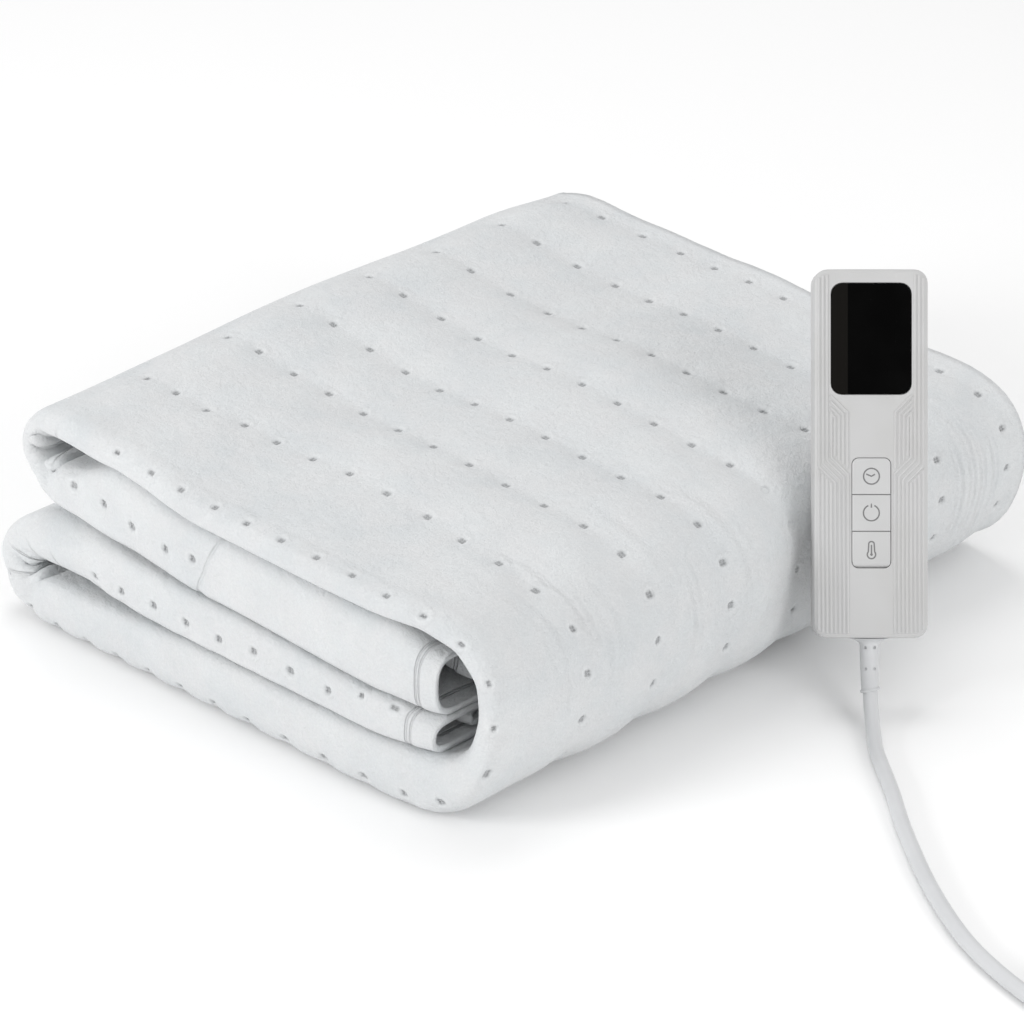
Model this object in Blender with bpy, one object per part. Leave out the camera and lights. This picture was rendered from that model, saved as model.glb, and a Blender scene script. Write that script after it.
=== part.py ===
"""Electric heated blanket, folded for storage, with its hand controller.

Metres, +Z up. The origin is the centre of the blanket's flat underside, on the floor. +X points out
of the side where the outer fold wraps round the free ends, -Y out of the side where the long
creases show as a stack of rounded folds.
"""
import math

import bmesh
import bpy
from mathutils import Matrix, Vector

MM = 0.001

# ---- the folded blanket --------------------------------------------------------------------------
CLOTH_THICKNESS = 0.0028      # bonded double fleece with the heating wire between
FOLD_WIDTH = 0.377            # Y, front crest to back fold: a quarter of the flat width
FRONT_Y = -0.187              # the front crests' foremost line
LOOP_X = -0.113               # where the strips run into the lower loop
UPPER_LOOP_X = -0.105         # and into the upper one
MIDDLE_X = -0.010
WRAP_X = 0.105                # where the top and bottom strips run into the wrap
UPPER_END_X = 0.1305          # the two hemmed ends, just inside the wrap
LOWER_END_X = 0.1315

CREST_REACH = 0.011           # how far the outer crest bulges in front of the flat layers
CREST_SQUARENESS = 2.7        # 2 is an ellipse
INNER_CREST_SETBACK = 0.024   # the inner crest lies this far behind the outer one
SMALL_BEND = 0.004            # Y reach of the inner crest and of the back fold
CREST_BLEND = (0.030, 0.080)  # Y range over which a strip goes from crest to inner height
EDGE_STEP_TOP = 0.003         # the two long edges stop a little short of the back fold
EDGE_STEP_INNER = 0.009

# Faces of each strip of four layers, in millimetres above the floor.
# Columns: x, underside, top face, underside at the front crest, top face at the front crest.
STRIPS = {
    "top": (
        (UPPER_LOOP_X, 94.5, 118.0, 104.2, 117.6),
        (-0.070, 90.5, 114.0, 101.3, 114.8),
        (MIDDLE_X, 85.0, 109.0, 94.5, 108.7),
        (WRAP_X, 81.0, 101.5, 89.2, 102.1),
    ),
    "upper_middle": (
        (UPPER_LOOP_X, 67.0, 89.0, 67.5, 91.0),
        (-0.070, 63.5, 86.0, 64.5, 100.5),
        (MIDDLE_X, 59.0, 83.5, 58.7, 93.7),
        (WRAP_X, 56.0, 79.0, 54.0, 88.4),
        (UPPER_END_X, 54.5, 75.5, 53.5, 83.0),
    ),
    "lower_middle": (
        (LOOP_X, 36.5, 62.5, 33.0, 64.0),
        (MIDDLE_X, 33.0, 57.5, 32.1, 57.9),
        (WRAP_X, 32.0, 54.5, 31.5, 53.2),
        (LOWER_END_X, 33.5, 52.5, 32.5, 52.0),
    ),
    "bottom": (
        (LOOP_X, 0.0, 29.5, 0.0, 28.0),
        (MIDDLE_X, 0.0, 31.5, 0.0, 31.3),
        (WRAP_X, 0.0, 27.0, 0.0, 30.7),
    ),
}

# The rounds that join two strips. Columns: first strip, second strip, x, way along X, reach of the
# middle line, squareness towards the first strip and towards the second (2 is an ellipse), and how
# late the thickness changes.
ROUNDS = {
    "upper_loop": ("upper_middle", "top", UPPER_LOOP_X, -1, 0.0260, 2.0, 2.0, 1.0),
    "wrap": ("top", "bottom", WRAP_X, 1, 0.0490, 2.4, 3.2, 5.0),
    "lower_loop": ("bottom", "lower_middle", LOOP_X, -1, 0.0330, 2.6, 2.0, 1.0),
}
LOOP_STEPS = 7
WRAP_STEPS = 10
STRIP_STEPS = 5

FLAT_LINES = (0.262, 0.228, 0.194, 0.130)   # Y from the front of the lines along each flat layer
OUTER_CREST_STEPS = 8
SMALL_BEND_STEPS = 4

# Soft unevenness of the pile, given as smooth shifts of the whole stack.
STACK_HEIGHT = STRIPS["top"][0][2] * MM
HALF_HEIGHT = STACK_HEIGHT / 2.0
WALL_FROM_X = (0.055, 0.150)  # only the wrap side is pushed: not at all at the first x, fully at the second
WALL_SKEW = 0.007             # the wrap stands this much further out at its back end
LOOP_FROM_X = (-0.040, -0.110)
LOOP_SKEW = 0.012             # and the upper loop this much
LOOP_SKEW_RISE = 0.020        # height over which the loop's skew sets in, above half the stack
CREST_DRAW_IN = 0.013         # the wrap's front crest is drawn in by this
DRAW_IN_FROM_X = (0.100, 0.160)
DRAW_IN_RISE = 0.060          # from the floor up
DRAW_IN_REACH = 0.4           # of the blanket's depth, from the front
BACK_FALL = 0.0045            # the top lies this much lower along its back edge
BACK_FALL_FROM = (0.17, 1.0)  # shares of the depth, from the front
SEAT_Y = 0.040                # where the controller presses into the wrap
SEAT_DEPTH = 0.0049
SEAT_HALF_WIDTH = 0.048
TOP_RIPPLE = 0.0016
RIPPLE_WAVES = ((34.0, 9.0), (-13.0, 41.0))   # radians per metre along X and Y

# ---- the controller ------------------------------------------------------------------------------
BODY_LENGTH = 0.168
BODY_WIDTH = 0.052
BODY_DEPTH = 0.022
BODY_CORNER = 0.0062
BODY_EDGE = 0.0016
SEAM_GAP = 0.0003             # between neighbouring pieces
CENTRE_BAND = 0.0215          # the flat middle facet of the front
FACET_DROP = 0.0014           # the side facets fall away by this at the edge
DISPLAY_WIDTH = 0.0364
DISPLAY_LENGTH = 0.0506
DISPLAY_CORNER = 0.0052
DISPLAY_DEPTH = 0.0016
DISPLAY_CENTRE = 0.1363       # along the body, from its lower end
BUTTON_WIDTH = 0.0174
BUTTON_LENGTH = 0.0164
BUTTON_DEPTH = 0.0036
BUTTON_PROUD = 0.0003
BUTTON_CORNER = 0.0028
BUTTON_TRAVEL = 0.0008
BUTTON_BLOCK_CENTRE = 0.0570
WELL_SPARE = 0.0005           # left under a button that is pressed right in
DISPLAY_PROUD = 0.0001
CUT_PAST = 0.0030             # a cutter stands this far in front of the face it cuts
BACK_EDGE_TIMES = 1.6         # the back shell's edges are this much rounder than the front's
BUTTONS = ("button_heat", "button_power", "button_timer")   # from the lower end up

BODY_FOOT = Vector((0.2019, 0.0288, 0.0322))   # centre of the body's lower end
LEAN = math.radians(27.0)     # from upright, back on to the wrap
LEAN_HEADING = math.radians(-46.5)             # the level direction that the body faces, from +X

# ---- the lead ------------------------------------------------------------------------------------
CORD_DIAMETER = 0.0068
BOOT_STRAIGHT = 0.004
BOOT_BEND_RADIUS = 0.0462
BOOT_LENGTH = 0.030
BOOT_WIDTH = 0.0092
BOOT_FLARE_WIDTH = 0.0178
BOOT_FLARE_LENGTH = 0.0045
BOOT_FLARE_STEP = (0.0015, 0.86)   # distance from the body, and the share of the flare's width there
BOOT_LIP_WIDTH = 0.0098
BOOT_LIP_LENGTH = 0.0012
BOOT_SIDES = 16
TUBE_SPACING = 2.2            # diameters between the points of a tube
COIL_CENTRE = Vector((0.4550, -0.0850))
COIL_MIDDLE_RADIUS = 0.0345
COIL_TURNS_ACROSS = 4
COIL_ROWS = 2                 # one turn straight on the other
COIL_SIDES = 36
TIE_THICKNESS = 0.0008
TIE_WIDTH = 0.0060
TIE_ANGLES = (math.radians(150.0), math.radians(330.0))

# The route on the floor, from the foot of the boot's bend to the coil: x, y.
CORD_ROUTE = (
    (0.2410, -0.0120),
    (0.2655, -0.0325),
    (0.2900, -0.0545),
    (0.3270, -0.0835),
    (0.3620, -0.1050),
    (0.3930, -0.1168),
    (0.4207, -0.1231),
)

PLUG_LENGTH = 0.0350
PLUG_WIDTH = 0.0353
PLUG_THICKNESS = 0.0137
PLUG_NECK_WIDTH = 0.0130
PLUG_NECK_LENGTH = 0.0060
PLUG_NECK_SPREAD = 0.0015     # the neck widens by this on each side before the shoulders
PLUG_SHOULDER = 0.0190        # from the rear face, where the full width is reached
PLUG_CORNER = 0.0030
PLUG_EDGE = 0.0018
PIN_LENGTH = 0.0190
PIN_DIAMETER = 0.0040
PIN_SPACING = 0.0186
PIN_TIP = 0.0008
PIN_SIDES = 16
PLUG_REAR = Vector((0.4997, -0.0350))   # the middle of the plug's rear face; its pins point to +Y
TAIL_FALL_FROM_Y = -0.0780    # the tail starts to come down here, from the coil's upper row


def smooth(value):
    """0 to 1 with level ends."""
    t = min(max(value, 0.0), 1.0)
    return t * t * (3.0 - 2.0 * t)


def ramp(value, span):
    """0 at the span's first number, 1 at its second, with level ends."""
    return smooth((value - span[0]) / (span[1] - span[0]))


def hump(value):
    """1 at zero, falling softly to nothing at -1 and 1."""
    return smooth(1.0 - abs(value))


def power(value, exponent):
    return math.copysign(abs(value) ** exponent, value)


def material(name, colour, roughness, metallic=0.0):
    made = bpy.data.materials.new(name)
    made.use_nodes = True
    shader = made.node_tree.nodes["Principled BSDF"]
    shader.inputs["Base Color"].default_value = (*colour, 1.0)
    shader.inputs["Roughness"].default_value = roughness
    shader.inputs["Metallic"].default_value = metallic
    return made


def new_object(name, mesh_or_bmesh, finish, parent=None, matrix=None):
    """Puts a mesh in the scene under its node's name."""
    if isinstance(mesh_or_bmesh, bmesh.types.BMesh):
        bmesh.ops.recalc_face_normals(mesh_or_bmesh, faces=mesh_or_bmesh.faces[:])
        mesh = bpy.data.meshes.new(name)
        mesh_or_bmesh.to_mesh(mesh)
        mesh_or_bmesh.free()
    else:
        mesh = mesh_or_bmesh
    made = bpy.data.objects.new(name, mesh)
    bpy.context.scene.collection.objects.link(made)
    made.data.materials.append(finish)
    if parent is not None:
        made.parent = parent
    if matrix is not None:
        made.matrix_local = matrix
    return made


# ---- blanket -------------------------------------------------------------------------------------
def strip_at(name, x, crest):
    """The height of a strip's middle and its thickness at x; crest is 1 at the front, 0 inside."""
    rows = STRIPS[name]
    for first, second in zip(rows, rows[1:]):
        if x <= second[0]:
            break
    t = smooth((x - first[0]) / (second[0] - first[0]))
    row = [a + (b - a) * t for a, b in zip(first, second)]
    underside = row[1] + (row[3] - row[1]) * crest
    top = row[2] + (row[4] - row[2]) * crest
    return (underside + top) / 2.0 * MM, (top - underside) * MM


def layer_pitch(thickness):
    return (thickness - CLOTH_THICKNESS) / 3.0


def place_on_strip(name, outer_side, x, crest, layer, offset):
    middle, thickness = strip_at(name, x, crest)
    return x, middle + outer_side * (layer * layer_pitch(thickness) + offset)


def place_on_round(name, angle, crest, layer, offset):
    first, second, x, way, reach, *squareness, lateness = ROUNDS[name]
    first_middle, first_thickness = strip_at(first, x, crest)
    second_middle, second_thickness = strip_at(second, x, crest)
    share = smooth(angle / math.pi) ** lateness
    thickness = first_thickness + (second_thickness - first_thickness) * share
    out = layer * layer_pitch(thickness) + offset
    half = (first_middle - second_middle) / 2.0
    half += out * math.copysign(1.0, half)
    middle = (first_middle + second_middle) / 2.0
    exponent = 2.0 / squareness[angle > math.pi / 2.0]
    return (
        x + way * (reach + out) * power(math.sin(angle), exponent),
        middle + half * power(math.cos(angle), exponent),
    )


def fold_stations():
    """The way along the blanket's length, from one hemmed end to the other."""
    def along(name, outer_side, start, stop, steps):
        xs = [start + (stop - start) * i / steps for i in range(steps + 1)]
        return [lambda c, k, o, x=x: place_on_strip(name, outer_side, x, c, k, o) for x in xs]

    def around(name, steps):
        angles = [math.pi * i / steps for i in range(1, steps)]
        return [lambda c, k, o, a=a: place_on_round(name, a, c, k, o) for a in angles]

    ends = 1
    return (
        along("upper_middle", -1, UPPER_END_X, WRAP_X, ends)[:-1]
        + along("upper_middle", -1, WRAP_X, UPPER_LOOP_X, STRIP_STEPS)
        + around("upper_loop", LOOP_STEPS)
        + along("top", 1, UPPER_LOOP_X, WRAP_X, STRIP_STEPS)
        + around("wrap", WRAP_STEPS)
        + along("bottom", -1, WRAP_X, LOOP_X, STRIP_STEPS)
        + around("lower_loop", LOOP_STEPS)
        + along("lower_middle", 1, LOOP_X, WRAP_X, STRIP_STEPS)[:-1]
        + along("lower_middle", 1, WRAP_X, LOWER_END_X, ends)
    )


def fold_profile():
    """The way across: one long edge, the outer crest, the back fold, the inner crest, the other edge.

    Each row is y from the front, layer as a multiple of the pitch from the strip's middle, and the
    direction in which the cloth's first face lies: its share along Y and its share outwards.
    """
    back = FOLD_WIDTH - SMALL_BEND
    inner = INNER_CREST_SETBACK + SMALL_BEND
    flats = (*FLAT_LINES, CREST_BLEND[1], sum(CREST_BLEND) / 2.0, CREST_BLEND[0])
    rows = [(FOLD_WIDTH - EDGE_STEP_TOP, 1.5, 0.0, 1.0)]
    rows += [(y, 1.5, 0.0, 1.0) for y in flats]
    bulge = 2.0 / CREST_SQUARENESS
    for i in range(OUTER_CREST_STEPS + 1):
        a = math.pi * i / OUTER_CREST_STEPS
        out, across = power(math.sin(a), bulge), power(math.cos(a), bulge)
        rows.append((CREST_REACH * (1.0 - out), 1.5 * across, -out, across))
    rows += [(y, -1.5, 0.0, -1.0) for y in reversed(flats)]
    bend = [math.pi * i / SMALL_BEND_STEPS for i in range(SMALL_BEND_STEPS + 1)]
    for a in bend:
        rows.append((back + SMALL_BEND * math.sin(a), -1.0 - 0.5 * math.cos(a), math.sin(a), -math.cos(a)))
    rows += [(y, -0.5, 0.0, 1.0) for y in flats[:-1]]
    for a in bend:
        rows.append((inner - SMALL_BEND * math.sin(a), -0.5 * math.cos(a), math.sin(a), math.cos(a)))
    rows += [(y, 0.5, 0.0, -1.0) for y in reversed(flats[:-1])]
    rows.append((FOLD_WIDTH - EDGE_STEP_INNER, 0.5, 0.0, -1.0))
    return rows


def settle(x, y, z):
    """The soft unevenness of the pile: smooth shifts that keep the layers apart and the floor flat."""
    from_front = (y - FRONT_Y) / FOLD_WIDTH
    height = smooth(z / HALF_HEIGHT)
    push = WALL_SKEW * smooth(from_front) * height
    push -= SEAT_DEPTH * hump((y - SEAT_Y) / SEAT_HALF_WIDTH) * height
    push *= ramp(x, WALL_FROM_X)
    left = ramp(x, LOOP_FROM_X)
    push -= LOOP_SKEW * left * smooth(from_front) * smooth((z - HALF_HEIGHT) / LOOP_SKEW_RISE)
    draw = CREST_DRAW_IN * ramp(x, DRAW_IN_FROM_X) * smooth(z / DRAW_IN_RISE)
    draw *= smooth(1.0 - from_front / DRAW_IN_REACH)
    ripple = TOP_RIPPLE * sum(math.sin(x * along + y * across) for along, across in RIPPLE_WAVES)
    rise = ripple - BACK_FALL * ramp(from_front, BACK_FALL_FROM) * (1.0 - left)
    return x + push, y + draw, z + rise * (z / STACK_HEIGHT) ** 2


def make_blanket(finish):
    stations = fold_stations()
    profile = fold_profile()
    shape = bmesh.new()
    faces = []
    for side in (0.5, -0.5):
        grid = []
        for station in stations:
            line = []
            for y, layer, along_y, outwards in profile:
                offset = side * CLOTH_THICKNESS
                x, z = station(1.0 - ramp(y, CREST_BLEND), layer, offset * outwards)
                line.append(shape.verts.new(settle(x, FRONT_Y + y + offset * along_y, z)))
            grid.append(line)
        faces.append(grid)
    first, second = faces
    rows, columns = len(stations), len(profile)
    for grid in faces:
        for i in range(rows - 1):
            for j in range(columns - 1):
                shape.faces.new((grid[i][j], grid[i + 1][j], grid[i + 1][j + 1], grid[i][j + 1]))
    for i in range(rows - 1):
        for j in (0, columns - 1):
            shape.faces.new((first[i][j], first[i + 1][j], second[i + 1][j], second[i][j]))
    for j in range(columns - 1):
        for i in (0, rows - 1):
            shape.faces.new((first[i][j], first[i][j + 1], second[i][j + 1], second[i][j]))
    bmesh.ops.triangulate(shape, faces=shape.faces[:])
    return new_object("blanket", shape, finish)


# ---- controller ----------------------------------------------------------------------------------
def rounded_outline(width, length, corners, steps=5):
    """Points of an upright rounded rectangle about the origin; corners are radii from lower left."""
    points = []
    centres = ((-1, -1, 180.0), (1, -1, 270.0), (1, 1, 0.0), (-1, 1, 90.0))
    for (sx, sz, start), radius in zip(centres, corners):
        if radius <= 0.0:
            points.append((sx * width / 2.0, sz * length / 2.0))
            continue
        cx = sx * (width / 2.0 - radius)
        cz = sz * (length / 2.0 - radius)
        for i in range(steps + 1):
            a = math.radians(start + 90.0 * i / steps)
            points.append((cx + radius * math.cos(a), cz + radius * math.sin(a)))
    return points


def facet_depth(x):
    """How far the front face stands in front of the body's middle at x."""
    out = (abs(x) - CENTRE_BAND / 2.0) / (BODY_WIDTH / 2.0 - CENTRE_BAND / 2.0)
    return BODY_DEPTH / 2.0 - FACET_DROP * min(max(out, 0.0), 1.0)


def slab(outline, centre_z, front, back, faceted_front=False, faceted_back=False):
    """A plate with this outline between two depths; a faceted face follows the body's front."""
    shape = bmesh.new()
    ring = [shape.verts.new((x, -front, z + centre_z)) for x, z in outline]
    face = shape.faces.new(ring)
    pushed = bmesh.ops.extrude_face_region(shape, geom=[face])["geom"]
    for vert in (g for g in pushed if isinstance(g, bmesh.types.BMVert)):
        vert.co.y = -back
    for x in (-CENTRE_BAND / 2.0, CENTRE_BAND / 2.0):
        if faceted_front or faceted_back:
            everything = shape.verts[:] + shape.edges[:] + shape.faces[:]
            bmesh.ops.bisect_plane(
                shape, geom=everything, dist=1e-6, plane_co=(x, 0.0, 0.0), plane_no=(1.0, 0.0, 0.0)
            )
    for vert in shape.verts:
        at_front = abs(vert.co.y + front) < 1e-7
        if at_front and faceted_front:
            vert.co.y = -(front - BODY_DEPTH / 2.0 + facet_depth(vert.co.x))
        elif not at_front and faceted_back:
            vert.co.y = -(back - BODY_DEPTH / 2.0 + facet_depth(vert.co.x))
    return shape


def cut(target, shape, parent):
    """Takes a shape out of a piece."""
    cutter = new_object(target.name + "_cutter", shape, target.data.materials[0], parent)
    cutter.hide_render = True
    cutter.display_type = "WIRE"
    subtract = target.modifiers.new("cut", "BOOLEAN")
    subtract.operation = "DIFFERENCE"
    subtract.object = cutter
    subtract.solver = "EXACT"


def soften(target, width, segments=2):
    edge = target.modifiers.new("soft edges", "BEVEL")
    edge.width = width
    edge.segments = segments
    edge.limit_method = "ANGLE"
    edge.angle_limit = math.radians(40.0)


def controller_axes():
    """The body's own axes: across, to the back and along its length."""
    level = Vector((math.cos(LEAN_HEADING), math.sin(LEAN_HEADING), 0.0))
    upright = Vector((0.0, 0.0, 1.0))
    along = -math.sin(LEAN) * level + math.cos(LEAN) * upright
    front = math.cos(LEAN) * level + math.sin(LEAN) * upright
    across = along.cross(front)
    return across, -front, along, level


def make_controller_frame():
    across, back, along, _ = controller_axes()
    frame = bpy.data.objects.new("controller_frame", None)
    bpy.context.scene.collection.objects.link(frame)
    turn = Matrix((across, back, along)).transposed().to_4x4()
    frame.matrix_world = Matrix.Translation(BODY_FOOT) @ turn
    return frame


def make_shells(frame, finish):
    outline = rounded_outline(BODY_WIDTH, BODY_LENGTH, (BODY_CORNER,) * 4)
    half = BODY_DEPTH / 2.0
    middle = BODY_LENGTH / 2.0
    front = new_object(
        "controller_front", slab(outline, middle, half, SEAM_GAP / 2.0, faceted_front=True), finish, frame
    )
    soften(front, BODY_EDGE)
    back = new_object("controller_back", slab(outline, middle, -SEAM_GAP / 2.0, -half), finish, frame)
    soften(back, BODY_EDGE * BACK_EDGE_TIMES, 3)

    gap = 2.0 * SEAM_GAP
    window = rounded_outline(DISPLAY_WIDTH + gap, DISPLAY_LENGTH + gap, (DISPLAY_CORNER,) * 4)
    deep = half - DISPLAY_DEPTH - SEAM_GAP
    cut(front, slab(window, DISPLAY_CENTRE, half + CUT_PAST, deep, faceted_back=True), frame)
    block = len(BUTTONS) * BUTTON_LENGTH + (len(BUTTONS) - 1) * SEAM_GAP
    well = rounded_outline(BUTTON_WIDTH + gap, block + gap, (BUTTON_CORNER + SEAM_GAP,) * 4)
    floor = half + BUTTON_PROUD - BUTTON_DEPTH - BUTTON_TRAVEL - WELL_SPARE
    cut(front, slab(well, BUTTON_BLOCK_CENTRE, half + CUT_PAST, floor), frame)
    return front, back


def make_display(frame, finish):
    outline = rounded_outline(DISPLAY_WIDTH, DISPLAY_LENGTH, (DISPLAY_CORNER,) * 4)
    half = BODY_DEPTH / 2.0
    shape = slab(outline, DISPLAY_CENTRE, half + DISPLAY_PROUD, half - DISPLAY_DEPTH, True, True)
    return new_object("display", shape, finish, frame)


def make_buttons(frame, finish):
    made = []
    pitch = BUTTON_LENGTH + SEAM_GAP
    front = BODY_DEPTH / 2.0 + BUTTON_PROUD
    for index, name in enumerate(BUTTONS):
        low = BUTTON_CORNER if index == 0 else 0.0
        high = BUTTON_CORNER if index == len(BUTTONS) - 1 else 0.0
        outline = rounded_outline(BUTTON_WIDTH, BUTTON_LENGTH, (low, low, high, high))
        centre = BUTTON_BLOCK_CENTRE + (index - (len(BUTTONS) - 1) / 2.0) * pitch
        shape = slab(outline, 0.0, front, front - BUTTON_DEPTH)
        made.append(new_object(name, shape, finish, frame, Matrix.Translation((0.0, 0.0, centre))))
    return made


# ---- lead ----------------------------------------------------------------------------------------
def boot_point(distance):
    """Where the lead's middle line is, this far below the body, and the way it runs there."""
    *_, along, level = controller_axes()
    start = BODY_FOOT - BOOT_STRAIGHT * along
    if distance <= BOOT_STRAIGHT:
        return BODY_FOOT - distance * along, -along
    fall = math.pi / 2.0 - LEAN
    turned = min((distance - BOOT_STRAIGHT) / BOOT_BEND_RADIUS, fall)
    slope = fall - turned
    ahead = BOOT_BEND_RADIUS * (math.sin(fall) - math.sin(slope))
    down = BOOT_BEND_RADIUS * (math.cos(slope) - math.cos(fall))
    point = start + ahead * level - down * Vector((0.0, 0.0, 1.0))
    return point, math.cos(slope) * level - math.sin(slope) * Vector((0.0, 0.0, 1.0))


def bend_foot():
    """The end of the bend, where the lead lies level."""
    return boot_point(BOOT_STRAIGHT + BOOT_BEND_RADIUS * (math.pi / 2.0 - LEAN))[0]


def make_boot(finish):
    """The flared strain relief, bent on to the floor."""
    lip = BOOT_LENGTH - BOOT_LIP_LENGTH
    step, share = BOOT_FLARE_STEP
    rows = [(SEAM_GAP, BOOT_FLARE_WIDTH), (step, BOOT_FLARE_WIDTH * share)]   # distance, width
    pieces = 5
    run = lip - SEAM_GAP - BOOT_FLARE_LENGTH
    rows += [(BOOT_FLARE_LENGTH + run * i / pieces, BOOT_WIDTH) for i in range(pieces + 1)]
    rows += [(lip, BOOT_LIP_WIDTH), (BOOT_LENGTH, BOOT_LIP_WIDTH)]
    sides = BOOT_SIDES
    shape = bmesh.new()
    rings = []
    for distance, width in rows:
        point, way = boot_point(distance)
        across = controller_axes()[0]
        across = (across - across.dot(way) * way).normalized()
        out = way.cross(across)
        ring = []
        for i in range(sides):
            a = math.tau * i / sides
            ring.append(shape.verts.new(point + width / 2.0 * (math.cos(a) * across + math.sin(a) * out)))
        rings.append(ring)
    for low, high in zip(rings, rings[1:]):
        for i in range(sides):
            j = (i + 1) % sides
            shape.faces.new((low[i], low[j], high[j], high[i]))
    shape.faces.new(rings[0])
    shape.faces.new(rings[-1])
    return new_object("strain_relief", shape, finish)


def smooth_line(points, spacing):
    """Points at about this spacing along a smooth curve through the given ones."""
    made = []
    padded = [2.0 * points[0] - points[1], *points, 2.0 * points[-1] - points[-2]]
    for p0, p1, p2, p3 in zip(padded, padded[1:], padded[2:], padded[3:]):
        steps = max(1, round((p2 - p1).length / spacing))
        for i in range(steps):
            t = i / steps
            made.append(
                0.5 * (2.0 * p1 + (p2 - p0) * t + (2.0 * p0 - 5.0 * p1 + 4.0 * p2 - p3) * t * t
                       + (3.0 * p1 - p0 - 3.0 * p2 + p3) * t * t * t)
            )
    return [*made, points[-1]]


def make_tube(name, points, finish):
    curve = bpy.data.curves.new(name, "CURVE")
    curve.dimensions = "3D"
    curve.bevel_depth = CORD_DIAMETER / 2.0
    curve.bevel_resolution = 3
    curve.use_fill_caps = True
    line = curve.splines.new("POLY")
    line.points.add(len(points) - 1)
    for slot, point in zip(line.points, points):
        slot.co = (*point, 1.0)
    made = bpy.data.objects.new(name, curve)
    bpy.context.scene.collection.objects.link(made)
    curve.materials.append(finish)
    return made


def cord_points():
    level_height = CORD_DIAMETER / 2.0
    bend_end = BOOT_STRAIGHT + BOOT_BEND_RADIUS * (math.pi / 2.0 - LEAN)
    start = BOOT_LENGTH + 3.0 * SEAM_GAP
    points = [boot_point(start + (bend_end - start) * i / 2)[0] for i in range(3)]
    points += [Vector((x, y, level_height)) for x, y in CORD_ROUTE]
    return smooth_line(points, TUBE_SPACING * CORD_DIAMETER)


def coil_radii():
    spread = COIL_TURNS_ACROSS * CORD_DIAMETER / 2.0
    return COIL_MIDDLE_RADIUS - spread, COIL_MIDDLE_RADIUS + spread


def coil_heights():
    low = TIE_THICKNESS + SEAM_GAP
    return low, low + COIL_ROWS * CORD_DIAMETER


def make_coil(finish):
    """The wound length as one ring of its outer shape, turned about its own axis."""
    inner, outer = coil_radii()
    low, high = coil_heights()
    edge = CORD_DIAMETER / 2.0
    outline = (
        (inner + edge, high), (outer - edge, high), (outer, high - edge), (outer, low + edge),
        (outer - edge, low), (inner + edge, low), (inner, low + edge), (inner, high - edge),
    )
    shape = bmesh.new()
    ring = [shape.verts.new((r, 0.0, z)) for r, z in outline]
    edges = [shape.edges.new((a, b)) for a, b in zip(ring, ring[1:] + ring[:1])]
    bmesh.ops.spin(
        shape, geom=ring + edges, axis=(0.0, 0.0, 1.0), cent=(0.0, 0.0, 0.0),
        steps=COIL_SIDES, angle=math.tau, use_duplicate=False, use_merge=True,
    )
    bmesh.ops.remove_doubles(shape, verts=shape.verts[:], dist=1e-6)
    return new_object("cord_coil", shape, finish, None, Matrix.Translation((*COIL_CENTRE, 0.0)))


def make_tie(name, angle, finish):
    """A band round the coil's turns."""
    inner, outer = coil_radii()
    _, high = coil_heights()
    wide = outer - inner + 2.0 * (2.0 * SEAM_GAP + TIE_THICKNESS)
    tall = high + SEAM_GAP + TIE_THICKNESS
    radius = CORD_DIAMETER / 2.0
    outline = rounded_outline(wide, tall, (radius,) * 4, 3)
    hole_wide = wide - 2.0 * TIE_THICKNESS
    hole_tall = tall - 2.0 * TIE_THICKNESS
    hole = rounded_outline(hole_wide, hole_tall, (radius - TIE_THICKNESS,) * 4, 3)
    shape = bmesh.new()
    rings = []
    for points in (outline, hole):
        for y in (-TIE_WIDTH / 2.0, TIE_WIDTH / 2.0):
            rings.append([shape.verts.new((x, y, z + tall / 2.0)) for x, z in points])
    count = len(outline)
    for first, second in ((0, 1), (1, 3), (3, 2), (2, 0)):
        for i in range(count):
            j = (i + 1) % count
            shape.faces.new((rings[first][i], rings[first][j], rings[second][j], rings[second][i]))
    turn = Matrix.Rotation(angle, 4, "Z")
    outwards = Matrix.Translation((COIL_MIDDLE_RADIUS, 0.0, 0.0))
    return new_object(name, shape, finish, None, Matrix.Translation((*COIL_CENTRE, 0.0)) @ turn @ outwards)


def make_tail(finish):
    """From the coil's outer turn over to the plug."""
    _, outer = coil_radii()
    _, high = coil_heights()
    x = PLUG_REAR.x
    inner_side = x - COIL_CENTRE.x - CORD_DIAMETER / 2.0
    leaves_y = COIL_CENTRE.y + math.sqrt((outer + SEAM_GAP) ** 2 - inner_side ** 2)
    meets_y = PLUG_REAR.y - 2.0 * SEAM_GAP
    top_z = high - CORD_DIAMETER / 2.0
    plug_z = PLUG_THICKNESS / 2.0
    points = []
    steps = 4
    for i in range(steps + 1):
        y = leaves_y + (meets_y - leaves_y) * i / steps
        fallen = ramp(y, (TAIL_FALL_FROM_Y, PLUG_REAR.y))
        points.append(Vector((x, y, top_z + (plug_z - top_z) * fallen)))
    return make_tube("cord_tail", points, finish)


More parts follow.
